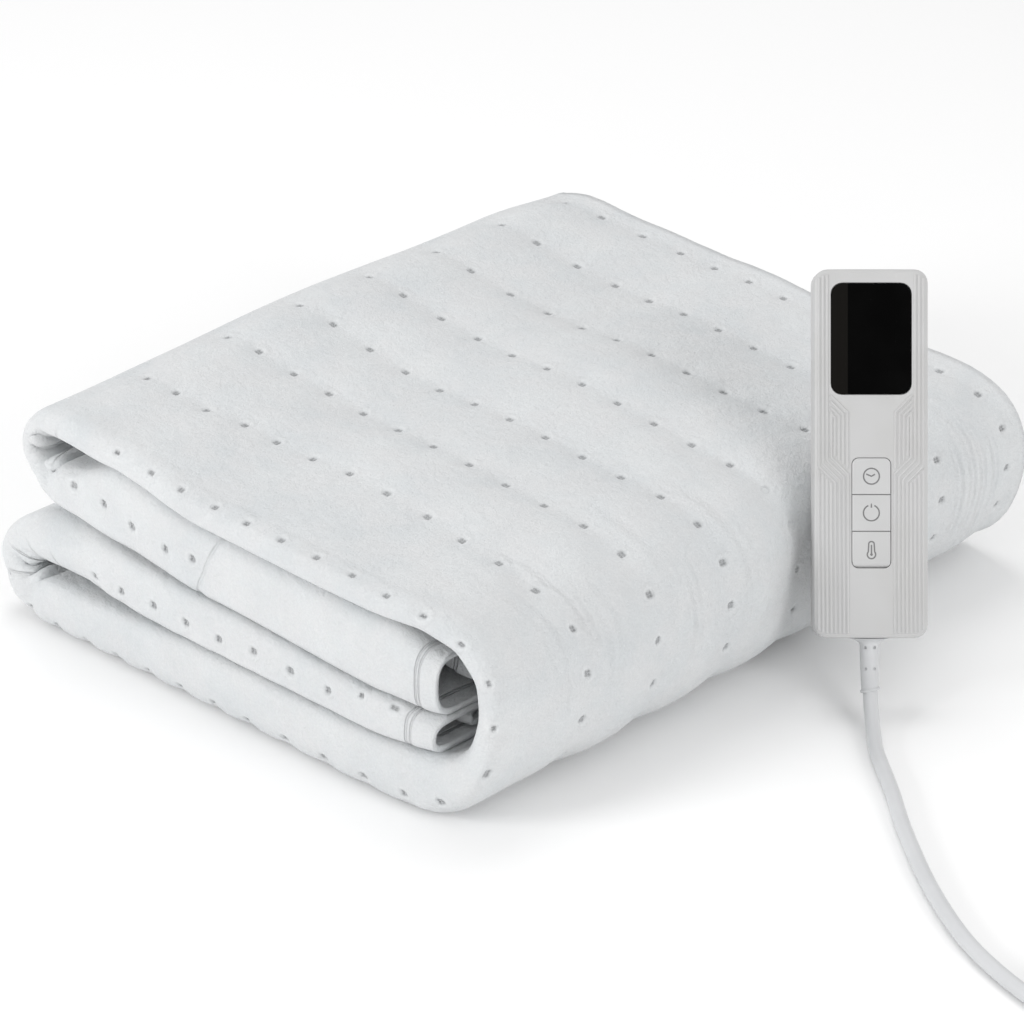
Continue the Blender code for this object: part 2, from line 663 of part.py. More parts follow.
def make_plug(body_finish, pin_finish):
    """A flat two-pin plug lying on its side, with its pins to +Y."""
    half = PLUG_WIDTH / 2.0
    neck = PLUG_NECK_WIDTH / 2.0
    right = (
        (neck, 0.0),
        (neck + PLUG_NECK_SPREAD, PLUG_NECK_LENGTH),
        (half, PLUG_SHOULDER),
        (half, PLUG_LENGTH - PLUG_CORNER),
        (half - PLUG_CORNER, PLUG_LENGTH),
    )
    outline = (*right, *((-x, y) for x, y in reversed(right)))
    shape = bmesh.new()
    ring = [shape.verts.new((x, y, 0.0)) for x, y in outline]
    face = shape.faces.new(ring)
    pushed = bmesh.ops.extrude_face_region(shape, geom=[face])["geom"]
    for vert in (g for g in pushed if isinstance(g, bmesh.types.BMVert)):
        vert.co.z = PLUG_THICKNESS
    place = Matrix.Translation((*PLUG_REAR, 0.0))
    body = new_object("plug_body", shape, body_finish, None, place)
    soften(body, PLUG_EDGE)
    for name, side in (("plug_pin_left", -1), ("plug_pin_right", 1)):
        pin = bmesh.new()
        centre = Matrix.Translation((0.0, 0.0, PIN_LENGTH / 2.0))
        bmesh.ops.create_cone(
            pin, cap_ends=True, segments=PIN_SIDES, radius1=PIN_DIAMETER / 2.0, radius2=PIN_DIAMETER / 2.0,
            depth=PIN_LENGTH, matrix=centre,
        )
        at = Vector((
            PLUG_REAR.x + side * PIN_SPACING / 2.0,
            PLUG_REAR.y + PLUG_LENGTH + SEAM_GAP,
            PLUG_THICKNESS / 2.0,
        ))
        turn = Matrix.Rotation(-math.pi / 2.0, 4, "X")
        made = new_object(name, pin, pin_finish, None, Matrix.Translation(at) @ turn)
        soften(made, PIN_TIP)


def main():
    for old in list(bpy.data.objects):
        bpy.data.objects.remove(old)
    cloth = material("white fleece", (0.86, 0.875, 0.885), 0.95)
    plastic = material("pale grey plastic", (0.78, 0.78, 0.78), 0.42)
    rubber = material("white lead", (0.83, 0.84, 0.86), 0.5)
    glass = material("black display", (0.012, 0.011, 0.010), 0.12)
    band = material("white tie", (0.80, 0.80, 0.80), 0.6)
    nickel = material("nickel", (0.72, 0.72, 0.70), 0.25, 1.0)

    make_blanket(cloth)
    frame = make_controller_frame()
    make_shells(frame, plastic)
    make_display(frame, glass)
    make_buttons(frame, plastic)
    make_boot(rubber)
    make_tube("cord", cord_points(), rubber)
    make_coil(rubber)
    for index, angle in enumerate(TIE_ANGLES):
        make_tie("cord_tie_" + "ab"[index], angle, band)
    make_tail(rubber)
    make_plug(rubber, nickel)


main()
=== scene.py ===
# A folded electric blanket, its hand controller and its mains lead: the looks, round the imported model.
import bisect
import math

import bpy
import numpy as np
from mathutils import Matrix, Vector


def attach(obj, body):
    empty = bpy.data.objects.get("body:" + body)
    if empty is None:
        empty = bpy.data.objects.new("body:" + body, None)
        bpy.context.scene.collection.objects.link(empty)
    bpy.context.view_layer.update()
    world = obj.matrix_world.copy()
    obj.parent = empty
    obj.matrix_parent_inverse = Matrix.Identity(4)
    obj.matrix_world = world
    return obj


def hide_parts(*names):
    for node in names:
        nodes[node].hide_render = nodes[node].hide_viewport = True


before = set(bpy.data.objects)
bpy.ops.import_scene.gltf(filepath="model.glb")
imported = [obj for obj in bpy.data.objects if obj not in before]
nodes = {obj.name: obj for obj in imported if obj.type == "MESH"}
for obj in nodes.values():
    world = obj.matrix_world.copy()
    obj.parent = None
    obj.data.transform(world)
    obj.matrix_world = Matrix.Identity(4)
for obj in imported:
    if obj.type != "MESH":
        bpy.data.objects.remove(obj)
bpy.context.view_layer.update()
print("frame loaded:", len(nodes), "nodes")


# small helpers
def smooth(value):
    t = min(max(value, 0.0), 1.0)
    return t * t * (3.0 - 2.0 * t)


def ramp(value, start, end):
    return smooth((value - start) / (end - start))


def hump(value):
    return smooth(1.0 - abs(value))


def power(value, exponent):
    return math.copysign(abs(value) ** exponent, value)


def bell(distance, width):
    return math.exp(-((distance / width) ** 2))


def deselectAll():
    if bpy.context.mode != "OBJECT":
        bpy.ops.object.mode_set(mode="OBJECT")
    bpy.ops.object.select_all(action="DESELECT")


def selectOnly(*pieces):
    deselectAll()
    for piece in pieces:
        piece.select_set(True)
    bpy.context.view_layer.objects.active = pieces[0]


def applyModifiers(piece):
    selectOnly(piece)
    for modifier in list(piece.modifiers):
        bpy.ops.object.modifier_apply(modifier=modifier.name)


def joinAs(name, pieces):
    selectOnly(*pieces)
    bpy.ops.object.join()
    joined = bpy.context.object
    joined.name = name
    joined.data.name = name
    return joined


def dress(piece, finish):
    piece.data.materials.clear()
    piece.data.materials.append(finish)


def finishPiece(piece, name, finish, body, slot, *standsFor):
    piece.name = name
    piece.data.name = name
    dress(piece, finish)
    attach(piece, body)
    if standsFor:
        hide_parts(*standsFor)
    return piece


def smoothShade(piece, angle):
    selectOnly(piece)
    bpy.ops.object.shade_smooth_by_angle(angle=math.radians(angle))


def roundBar(name, points, radius, sides, closed=False):
    # a round bar along points, still a curve
    curve = bpy.data.curves.new(name, "CURVE")
    curve.dimensions = "3D"
    curve.bevel_depth = radius
    curve.bevel_resolution = sides
    curve.use_fill_caps = True
    line = curve.splines.new("POLY")
    line.points.add(len(points) - 1)
    for knot, point in zip(line.points, points):
        knot.co = (*point, 1.0)
    line.use_smooth = True
    line.use_cyclic_u = closed
    bar = bpy.data.objects.new(name, curve)
    bpy.context.scene.collection.objects.link(bar)
    return bar


# the camera, at the photograph's viewing angle
cameraSetup = {
    "place": (1.1266, -1.1830, 0.8666),
    "looksAt": (-0.0429, 0.0492, 0.0035),
    "lens": 132.75,
    "sensor": 36.0,
}


def addCamera(setup):
    bpy.ops.object.camera_add(location=setup["place"])
    camera = bpy.context.object
    way = Vector(setup["looksAt"]) - Vector(setup["place"])
    camera.rotation_euler = way.to_track_quat("-Z", "Y").to_euler()
    camera.data.lens = setup["lens"]
    camera.data.sensor_width = setup["sensor"]
    bpy.context.scene.camera = camera


addCamera(cameraSetup)
print("camera placed")


# materials
class Field:
    # a node's output, on which arithmetic adds Math nodes
    def __init__(self, tree, socket):
        self.tree = tree
        self.socket = socket

    def node(self, kind, settings=None, inputs=None, output=0):
        made = self.tree.nodes.new(kind)
        for key, value in (settings or {}).items():
            setattr(made, key, value)
        for key, value in (inputs or {}).items():
            if isinstance(value, Field):
                self.tree.links.new(value.socket, made.inputs[key])
            else:
                made.inputs[key].default_value = value
        return Field(self.tree, made.outputs[output])

    def maths(self, operation, *values):
        return self.node("ShaderNodeMath", {"operation": operation}, dict(enumerate(values)))

    def __add__(self, other):
        return self.maths("ADD", self, other)

    def __radd__(self, other):
        return self.maths("ADD", other, self)

    def __sub__(self, other):
        return self.maths("SUBTRACT", self, other)

    def __rsub__(self, other):
        return self.maths("SUBTRACT", other, self)

    def __mul__(self, other):
        return self.maths("MULTIPLY", self, other)

    def __rmul__(self, other):
        return self.maths("MULTIPLY", other, self)

    def __truediv__(self, other):
        return self.maths("DIVIDE", self, other)

    def __abs__(self):
        return self.maths("ABSOLUTE", self)

    def root(self):
        return self.maths("SQRT", self)

    def least(self, other):
        return self.maths("MINIMUM", self, other)

    def clamped(self):
        return self.node("ShaderNodeClamp", None, {"Value": self})

    def fromNearest(self, pitch):
        # distance to the nearest multiple of the pitch
        turns = self / pitch + 0.5
        return abs(turns.maths("FRACT", turns) * pitch - pitch / 2.0)

    def fade(self, full, none):
        # 1 where this is at full, 0 at none
        settings = {"interpolation_type": "SMOOTHSTEP"}
        values = {"Value": self, "From Min": full, "From Max": none, "To Min": 1.0, "To Max": 0.0}
        return self.node("ShaderNodeMapRange", settings, values)


class Finish(Field):
    # one material: a Principled shader with plain numbers on its sockets, and what varies linked in
    def __init__(self, name, **numbers):
        self.material = bpy.data.materials.new(name)
        self.material.use_nodes = True
        super().__init__(self.material.node_tree, None)
        self.shader = self.tree.nodes["Principled BSDF"]
        for key, value in numbers.items():
            self.shader.inputs[key.replace("_", " ")].default_value = value

    def coordinates(self):
        return self.node("ShaderNodeTexCoord", output="Object")

    def noise(self, place, scale, detail=2.0, roughness=0.5, stretch=None):
        if stretch:
            place = self.node("ShaderNodeMapping", None, {"Vector": place, "Scale": stretch})
        values = {"Vector": place, "Scale": scale, "Detail": detail, "Roughness": roughness}
        return self.node("ShaderNodeTexNoise", None, values)

    def mix(self, share, first, second):
        values = {0: share, 6: first, 7: second}
        return self.node("ShaderNodeMix", {"data_type": "RGBA"}, values, output=2)

    def bump(self, height, distance, strength):
        values = {"Strength": strength, "Distance": distance, "Height": height}
        return self.node("ShaderNodeBump", None, values)

    def feed(self, key, field):
        self.tree.links.new(field.socket, self.shader.inputs[key])


def paint(red, green, blue):
    return (red, green, blue, 1.0)


# The blanket. Length runs along the route of the fold, and across runs from the front crest to the back.
blanket = {
    "thickness": 0.0028,
    "foldWidth": 0.377,          # a quarter of the flat width, from the front crests to the back fold
    "frontY": -0.187,
    "loopX": -0.113,             # the lower loop starts here, and the upper one next
    "upperLoopX": -0.105,
    "slopeX": -0.070,
    "middleX": -0.010,
    "wrapX": 0.105,              # the wrap starts here
    "upperEndX": 0.1305,         # the two hemmed ends
    "lowerEndX": 0.1315,
    "lengthAtWrap": -0.025,      # cloth length where the top strip runs into the wrap
    "crestReach": 0.011,
    "crestExtra": 0.004,         # a crest's arc is this much longer than its reach
    "crestSteps": 22,
    "crestBlend": (0.030, 0.080),    # a strip's height changes from its crest's to its own over these y
    "forwardBlend": (0.010, 0.050),  # and these are for the crest's step forward
    "acrossBlend": (0.020, 0.045),   # and for the distance from the crest, which is y farther back
    "innerCrestSetback": 0.024,
    "smallBend": 0.004,
    "bendSteps": 4,
    "edgeStepTop": 0.003,
    "edgeStepInner": 0.009,
    "flatSize": (1.470, 1.200),  # the whole blanket opened out
}

# Millimetres above the floor. Columns: x, underside, top face, and the same two at the crest.
strips = {
    "top": (
        (blanket["upperLoopX"], 94.5, 118.0, 103.2, 117.8),
        (blanket["slopeX"], 90.5, 114.0, 100.9, 115.0),
        (blanket["middleX"], 85.0, 109.0, 94.0, 108.9),
        (blanket["wrapX"], 81.0, 101.5, 88.7, 102.1),
    ),
    "upperMiddle": (
        (blanket["upperLoopX"], 67.0, 89.0, 67.5, 91.0),
        (blanket["slopeX"], 63.5, 86.0, 63.9, 100.6),
        (blanket["middleX"], 59.0, 83.5, 58.3, 93.7),
        (blanket["wrapX"], 55.0, 79.0, 52.0, 88.0),
        (blanket["upperEndX"], 49.5, 72.0, 47.8, 77.5),
    ),
    "lowerMiddle": (
        (blanket["loopX"], 36.5, 62.5, 33.0, 63.0),
        (blanket["middleX"], 33.0, 57.5, 31.7, 58.0),
        (blanket["wrapX"], 32.0, 53.5, 31.1, 51.7),
        (blanket["lowerEndX"], 32.0, 48.0, 31.2, 47.2),
    ),
    "bottom": (
        (blanket["loopX"], 0.0, 29.5, 0.0, 28.0),
        (blanket["middleX"], 0.0, 31.5, 0.0, 31.4),
        (blanket["wrapX"], 0.0, 27.0, 0.0, 30.8),
    ),
}
pileHeight = strips["top"][0][2] / 1000.0

# Columns: first strip, second strip, x, way along X, reach of the middle line, squareness towards the
# first strip and towards the second, and how late the thickness changes.
rounds = {
    "upperLoop": ("upperMiddle", "top", blanket["upperLoopX"], -1, 0.0260, 2.0, 2.0, 1.0),
    "wrap": ("top", "bottom", blanket["wrapX"], 1, 0.0490, 2.4, 3.2, 5.0),
    "lowerLoop": ("bottom", "lowerMiddle", blanket["loopX"], -1, 0.0330, 2.6, 1.9, 1.0),
}

# The way along the blanket: strips with their outer side and their ends, and the rounds between.
route = (
    ("upperMiddle", -1, blanket["upperEndX"], blanket["upperLoopX"]),
    ("upperLoop",),
    ("top", 1, blanket["upperLoopX"], blanket["wrapX"]),
    ("wrap",),
    ("bottom", -1, blanket["wrapX"], blanket["loopX"]),
    ("lowerLoop",),
    ("lowerMiddle", 1, blanket["loopX"], blanket["lowerEndX"]),
)

spots = {
    "pitch": 0.023,              # along the blanket's length
    "rowPitch": 0.050,           # across it
    "phase": -0.242,             # cloth length of one line of spots
    "rowPhase": 0.016,           # first row, from the front crest
    "rows": 7,
    "spottedLengths": ((-0.430, -0.300), (-0.254, 0.434), (0.506, 0.752)),
    "bareLoop": (-0.300, -0.207),    # no spots here nearer the crest than bareAcross
    "bareAcross": 0.035,
    "firstRowReach": (0.024, 0.048),     # the first row's wander fades out over these y
    "upperRowReach": 0.045,
    "depth": 0.0017,
    "radius": 0.0026,
    "rowDepth": 0.0011,
    "rowWidth": 0.0120,
    "rowBlend": (0.030, 0.045),
    "softDepth": 0.0011,
    "softRadius": 0.0085,
}

# How the first row of spots wanders. Columns: cloth length, shift along it, drift across it, millimetres.
firstRow = (
    (-0.567, 0.0, 16.0), (-0.426, -8.0, 16.0), (-0.403, -3.0, 11.6), (-0.380, -3.0, 11.4),
    (-0.357, 1.0, 16.0), (-0.334, 3.0, 21.0), (-0.311, 0.0, 21.8), (-0.250, 0.0, 14.0), (-0.196, 3.0, 12.0),
    (-0.173, 3.0, 11.0), (-0.150, 8.0, 8.9), (-0.127, 9.5, 7.8), (-0.104, 12.0, 7.8), (-0.081, 13.0, 7.4),
    (-0.058, 14.0, 7.0), (-0.035, 15.0, 6.8), (-0.012, 15.0, 9.4), (0.011, 15.0, 12.8), (0.034, 15.0, 14.4),
    (0.057, 15.0, 12.7), (0.080, 15.0, 11.9), (0.103, 15.0, 8.0), (0.126, 8.0, 8.6), (0.149, 8.0, 8.1),
    (0.241, -1.0, 5.0), (0.333, 1.0, 5.0), (0.402, 6.0, 6.0), (0.460, 0.0, 10.0), (0.517, -3.0, 22.3),
    (0.540, 1.0, 21.6), (0.563, 1.0, 19.2), (0.609, 3.0, 19.2), (0.632, 3.0, 16.0), (0.678, 1.0, 16.0),
    (0.701, 3.0, 9.3), (0.724, 8.0, 8.2), (0.739, 0.0, 8.0),
)

# The same for the next rows, with their distance from the front.
upperRows = (
    (0.062, ((-0.300, 0.0, 0.0), (-0.242, -1.0, 4.0), (-0.196, 4.0, 4.0), (-0.173, 6.0, -1.0),
             (-0.150, 10.0, -3.0), (-0.104, 11.0, -6.0), (-0.081, 9.0, -5.0), (-0.058, 5.0, -4.0),
             (-0.012, 3.0, 2.0), (0.011, 3.0, 6.0), (0.060, 0.0, 0.0), (0.739, 0.0, 0.0))),
    (0.112, ((-0.300, 0.0, 0.0), (-0.242, 2.0, -2.0), (-0.219, 4.0, -3.0), (-0.173, 7.0, -6.0),
             (-0.150, 7.0, -6.0), (-0.104, 4.0, -3.0), (-0.058, 2.0, -1.0), (0.060, 0.0, 0.0),
             (0.739, 0.0, 0.0))),
)

# The crest's shape. Columns: cloth length, squareness towards the outer and the inner layers, and how far
# it stands forward in millimetres.
crestShape = (
    (-0.568, 2.4, 2.4, 0.0), (-0.535, 7.0, 4.0, 0.0), (-0.345, 9.0, 4.5, 0.0), (-0.305, 2.0, 2.0, 0.0),
    (-0.262, 1.9, 1.8, 0.0), (-0.215, 3.0, 5.0, 0.0), (-0.060, 3.2, 5.0, 0.0), (0.000, 2.8, 3.0, 0.0),
    (0.100, 2.8, 3.0, 0.0), (0.180, 3.0, 7.0, 2.8), (0.400, 3.0, 7.0, 2.8), (0.445, 2.0, 1.9, 1.5),
    (0.510, 1.9, 2.0, 1.5), (0.560, 8.0, 7.0, 2.0), (0.705, 8.0, 7.0, 1.6), (0.739, 2.4, 2.4, 1.0),
)

# Radial creases inside the two loops. Columns: angle round the loop, depth in millimetres, width.
loopCreases = {
    "upperLoop": ((0.55, 3.0, 0.15), (1.02, 4.0, 0.16), (1.50, 4.2, 0.15), (1.92, 3.0, 0.12),
                  (2.40, 1.6, 0.30)),
    "lowerLoop": ((0.55, 3.2, 0.15), (1.05, 3.8, 0.16), (1.55, 4.0, 0.16), (2.20, 2.2, 0.30)),
}

# Soft troughs (below 0) and ridges on the outer side. Columns: cloth length and distance from the crest
# at the start, the same at the end, height in millimetres, half width in metres.
folds = (
    (-0.200, 0.040, 0.020, 0.034, -0.5, 0.014),
    (-0.150, 0.092, 0.010, 0.088, 0.9, 0.014),
    (-0.220, 0.140, -0.040, 0.146, 0.8, 0.015),
    (-0.180, 0.192, 0.000, 0.186, 0.9, 0.016),
    (-0.230, 0.240, -0.060, 0.246, 0.8, 0.015),
    (-0.010, 0.075, 0.060, 0.050, -1.9, 0.0055),
    (0.000, 0.110, 0.080, 0.078, -1.8, 0.006),
    (0.020, 0.160, 0.090, 0.120, -1.3, 0.009),
    (-0.030, 0.210, 0.040, 0.190, -1.3, 0.009),
    (0.010, 0.300, 0.100, 0.285, -1.2, 0.010),
)
foldBow = 0.012                  # each parts in two round its line, this far out at its middle

# Shallow creases that run round the wrap. Columns: middle cloth length, half length, distance from the
# crest in the middle, bow at the ends, half width.
wrapCreases = (
    (0.040, 0.052, 0.0500, -0.003, 0.0060),
    (0.020, 0.036, 0.0755, -0.003, 0.0045),
    (0.042, 0.050, 0.0850, -0.004, 0.0075),
    (0.030, 0.052, 0.1320, -0.004, 0.0080),
    (0.046, 0.034, 0.1420, -0.002, 0.0050),
    (0.030, 0.050, 0.1800, -0.003, 0.0070),
    (0.048, 0.040, 0.2300, -0.003, 0.0060),
    (0.056, 0.044, 0.3270, -0.002, 0.0040),
    (0.050, 0.050, 0.3360, -0.002, 0.0038),
    (0.058, 0.046, 0.3440, -0.002, 0.0038),
    (0.052, 0.040, 0.3540, -0.002, 0.0042),
)

# Fine creases into the loops, with painted shade along them. Columns: cloth length, lean, half width.
loopLines = (
    (-0.243, 0.25, 0.0014), (-0.263, 0.15, 0.0016), (-0.283, -0.10, 0.0015), (-0.302, -0.30, 0.0014),
    (0.424, 0.30, 0.0014), (0.446, 0.15, 0.0016), (0.468, -0.10, 0.0015), (0.492, -0.25, 0.0014),
)

hem = {
    "width": 0.0085,
    "step": 0.0012,
    "stitchGap": 0.0017,         # between the two lines of stitches
    "stitchWidth": 0.0009,
    "drawnIn": 0.0035,           # how far the inner layers' ends lie inside the outer one's
    "waves": (0.0030, 70.0),     # their height, and their turns along y
}

# The seam across the second fold: cloth length at the crest, slope, and how far across the slope goes.
seam = {"at": -0.4434, "slope": 0.467, "bend": 0.030, "depth": 0.0008, "width": 0.0018}

# The cloth's thickness as shares of the blanket's: less at a spot, more in a hem, less at its stitches.
thicknessShares = {"plain": 0.80, "spot": 0.35, "hem": 0.20, "stitches": 0.25}

# The soft unevenness of the pile, as shifts in metres.
settling = {
    "wrapLean": 0.0070,          # the wrap's upper part leans out at the back
    "wrapWaist": 0.0049,         # and is pressed in where the controller leans on it
    "waistY": (0.040, 0.048),    # middle and half width of that place
    "wrapSpread": 0.0030,        # the wrap's back corner leans outwards
    "loopDraw": 0.0120,          # the upper loop draws in towards the back
    "frontDraw": 0.0130,         # the wrap's upper front corner draws back
    "wave": 0.0016,
    "backSag": 0.0045,
    "leftRise": 0.0042,
    "cornerSag": 0.0040,
    "loopSag": 0.0032,
}

# Where the mesh has its lines, in metres.
meshLines = {
    "besideSpots": (-0.0080, -0.0032, -0.0011, 0.0011, 0.0032, 0.0080),
    "betweenRows": (-0.0165, -0.0250, -0.0335),
    "outerFront": (0.0230, 0.0180, 0.0140),
    "innerLayer": (0.014, 0.018, 0.024, 0.032, 0.045, 0.060, 0.090, 0.180, 0.300),
    "middleLayers": (0.040, 0.060, 0.090, 0.180, 0.300),
    "insideHem": (0.0007, 0.0020, 0.0045, 0.0066, 0.0076, 0.0085, 0.0094, 0.0104),
    "hemZone": (0.0105, 0.0120),
    "inLoops": 0.0021,
    "besideLoops": 0.0020,
}


def stripAt(name, x, crest):
    # the height of a strip's middle at x, and its thickness
    rows = strips[name]
    for first, second in zip(rows, rows[1:]):
        if x <= second[0]:
            break
    t = smooth((x - first[0]) / (second[0] - first[0]))
    row = [a + (b - a) * t for a, b in zip(first, second)]
    underside = row[1] + (row[3] - row[1]) * crest
    top = row[2] + (row[4] - row[2]) * crest
    return (underside + top) / 2000.0, (top - underside) / 1000.0


def layerPitch(thickness):
    return (thickness - blanket["thickness"]) / 3.0


def placeOnStrip(name, outerSide, x, crest, layer):
    middle, thickness = stripAt(name, x, crest)
    return x, middle + outerSide * layer * layerPitch(thickness)


def placeOnRound(name, angle, crest, layer):
    first, second, x, way, reach, *squareness, lateness = rounds[name]
    firstMiddle, firstThickness = stripAt(first, x, crest)
    secondMiddle, secondThickness = stripAt(second, x, crest)
    share = smooth(angle / math.pi) ** lateness
    out = layer * layerPitch(firstThickness + (secondThickness - firstThickness) * share)
    half = (firstMiddle - secondMiddle) / 2.0
    half += out * math.copysign(1.0, half)
    middle = (firstMiddle + secondMiddle) / 2.0
    exponent = 2.0 / squareness[angle > math.pi / 2.0]
    return (
        x + way * (reach + out) * power(math.sin(angle), exponent),
        middle + half * power(math.cos(angle), exponent),
    )


def placeAlong(leg, t, crest, layer):
    # t runs from 0 to 1 along one leg of the route
    if len(leg) == 1:
        return placeOnRound(leg[0], math.pi * t, crest, layer)
    name, outerSide, start, stop = leg
    return placeOnStrip(name, outerSide, start + (stop - start) * t, crest, layer)


def measureRoute():
    # cloth lengths along the outermost layer: rows of (length, leg, t)
    rows, length, last, samples = [], 0.0, None, 90
    for leg in route:
        for i in range(samples + 1):
            point = Vector(placeAlong(leg, i / samples, 0.0, 1.5))
            if last is not None:
                length += (point - last).length
            last = point
            rows.append((length, leg, i / samples))
    zero = next(row[0] for row in rows if row[1][0] == "wrap")
    return [(row[0] - zero + blanket["lengthAtWrap"], row[1], row[2]) for row in rows]


routeTable = measureRoute()
routeLengths = [row[0] for row in routeTable]
clothStart, clothEnd = routeLengths[0], routeLengths[-1]


def stationAt(length):
    # the leg of the route, and how far along it, at this cloth length
    after = min(max(bisect.bisect_right(routeLengths, length), 1), len(routeTable) - 1)
    first, second = routeTable[after - 1], routeTable[after]
    if first[1] is not second[1]:
        return second[1], second[2]
    share = (length - first[0]) / max(second[0] - first[0], 1e-9)
    return first[1], first[2] + (second[2] - first[2]) * share


def clothLengths():
    # the mesh lines across the cloth: closer at the spots, in the loops and at the hems
    loops = []
    for name in loopCreases:
        inside = [row[0] for row in routeTable if row[1][0] == name]
        loops.append((inside[0], inside[-1]))
    lines = [clothStart, clothEnd]
    for inset in meshLines["insideHem"]:
        lines += [clothStart + inset, clothEnd - inset]
    firstSpots = round((clothStart - spots["phase"]) / spots["pitch"]) - 1
    lastSpots = round((clothEnd - spots["phase"]) / spots["pitch"]) + 1
    for i in range(firstSpots, lastSpots + 1):
        lines += [spots["phase"] + i * spots["pitch"] + beside for beside in meshLines["besideSpots"]]
    hemEnd, clothBegin = meshLines["hemZone"]
    kept = []
    for line in lines:
        fromEnd = min(line - clothStart, clothEnd - line)
        nearLoop = any(low < line + meshLines["besideLoops"] and line - meshLines["besideLoops"] < high
                       for low, high in loops)
        if 0.0 <= fromEnd <= hemEnd or (fromEnd > clothBegin and not nearLoop):
            kept.append(line)
    for low, high in loops:
        steps = round((high - low) / meshLines["inLoops"])
        kept += [low + (high - low) * i / steps for i in range(steps + 1)]
    return sorted(set(kept))


def crestPlace(side, outerSquareness, innerSquareness):
    # y and layer round the outer crest, at even angles
    squareness = outerSquareness if side > 0.0 else innerSquareness
    out = math.sqrt(max(1.0 - side * side, 0.0))
    radius = (abs(side) ** squareness + out ** squareness) ** (-1.0 / squareness)
    return blanket["crestReach"] * (1.0 - radius * out), 1.5 * radius * side


def foldProfile():
    # the mesh lines along the cloth, from its outer edge round the crest and the inner bends to its inner
    # edge: y from the front, layer, and the side of the crest from 1, outer, to -1, inner
    back = blanket["foldWidth"] - blanket["smallBend"]
    inner = blanket["innerCrestSetback"] + blanket["smallBend"]
    rows = [(blanket["foldWidth"] - blanket["edgeStepTop"], 1.5, 1.0)]
    for i in range(spots["rows"], 0, -1):
        middle = spots["rowPhase"] + i * spots["rowPitch"] - blanket["crestExtra"]
        beside = [*reversed(meshLines["besideSpots"]), *meshLines["betweenRows"]]
        rows += [(middle + offset, 1.5, 1.0) for offset in beside]
    rows += [(y, 1.5, 1.0) for y in meshLines["outerFront"]]
    for i in range(blanket["crestSteps"] + 1):
        side = math.cos(math.pi * i / blanket["crestSteps"])
        rows.append((*crestPlace(side, 4.0, 4.0), side))
    bend = [math.pi * i / blanket["bendSteps"] for i in range(blanket["bendSteps"] + 1)]
    rows += [(y, -1.5, -1.0) for y in meshLines["innerLayer"]]
    rows += [(back + blanket["smallBend"] * math.sin(a), -1.0 - 0.5 * math.cos(a), -1.0) for a in bend]
    rows += [(y, -0.5, -1.0) for y in reversed(meshLines["middleLayers"])]
    rows += [(inner - blanket["smallBend"] * math.sin(a), -0.5 * math.cos(a), -1.0) for a in bend]
    rows += [(y, 0.5, -1.0) for y in meshLines["middleLayers"]]
    rows.append((blanket["foldWidth"] - blanket["edgeStepInner"], 0.5, -1.0))
    return rows


def settle(x, y, z):
    # smooth shifts of all the layers together
    fromFront = (y - blanket["frontY"]) / blanket["foldWidth"]
    backwards = smooth(fromFront)
    upper = smooth(z / (0.5 * pileHeight))
    waistMiddle, waistHalf = settling["waistY"]
    push = settling["wrapLean"] * backwards * upper
    push -= settling["wrapWaist"] * hump((y - waistMiddle) / waistHalf) * upper
    tilt = max(-1.0, min(1.0, (z - 0.045) / 0.045)) * smooth(z / 0.010)
    push += settling["wrapSpread"] * backwards * tilt
    push *= ramp(x, 0.055, 0.150)
    left = ramp(x, -0.040, -0.110)
    push -= settling["loopDraw"] * left * backwards * ramp(z, 0.5 * pileHeight, 0.5 * pileHeight + 0.020)
    draw = settling["frontDraw"] * ramp(x, 0.100, 0.160) * ramp(z, 0.0, 0.060)
    draw *= smooth(1.0 - fromFront / 0.4)
    wave = settling["wave"] * (math.sin(x * 34.0 + y * 9.0) + math.sin(y * 41.0 - x * 13.0))
    rise = wave * (1.0 - 0.8 * left) - settling["backSag"] * ramp(fromFront, 0.17, 1.0) * (1.0 - left)
    rise += settling["leftRise"] * left * hump((y + 0.030) / 0.150)
    rise -= settling["cornerSag"] * ramp(x, -0.060, -0.125) * ramp(y, 0.130, 0.190)
    sink = settling["loopSag"] * ramp(x, -0.100, -0.145) * hump((z - 0.055) / 0.030)
    return Vector((x + push, y + draw, z + rise * (z / pileHeight) ** 2 - sink))


def valuesAt(rows, length):
    # the columns of a table at this cloth length
    for first, second in zip(rows, rows[1:]):
        if length <= second[0]:
            break
    t = (length - first[0]) / (second[0] - first[0])
    return [a + (b - a) * t for a, b in zip(first[1:], second[1:])]


def fromSpot(length, across):
    # distance from the nearest spot, and from the nearest row of them
    along = (length - spots["phase"]) / spots["pitch"]
    over = (across - spots["rowPhase"]) / spots["rowPitch"]
    fromRow = abs(over - round(over)) * spots["rowPitch"]
    return math.hypot((along - round(along)) * spots["pitch"], fromRow), fromRow


def hasSpots(length, across):
    low, high = spots["bareLoop"]
    if low < length < high and across < spots["bareAcross"]:
        return False
    return any(low <= length <= high for low, high in spots["spottedLengths"])


def wavyHem(leg, t, y, layer):
    # the inner layers' free ends run in and out a little
    if leg[0] == "upperMiddle":
        free = 1.0 - ramp(t, 0.0, 0.25)
    elif leg[0] == "lowerMiddle":
        free = ramp(t, 0.75, 1.0)
    else:
        return 0.0
    height, turns = hem["waves"]
    inwards = hem["drawnIn"] - height * math.sin(y * turns + layer * 2.5)
    return -free * inwards * (1.0 - ramp(abs(layer), 0.4, 1.3))


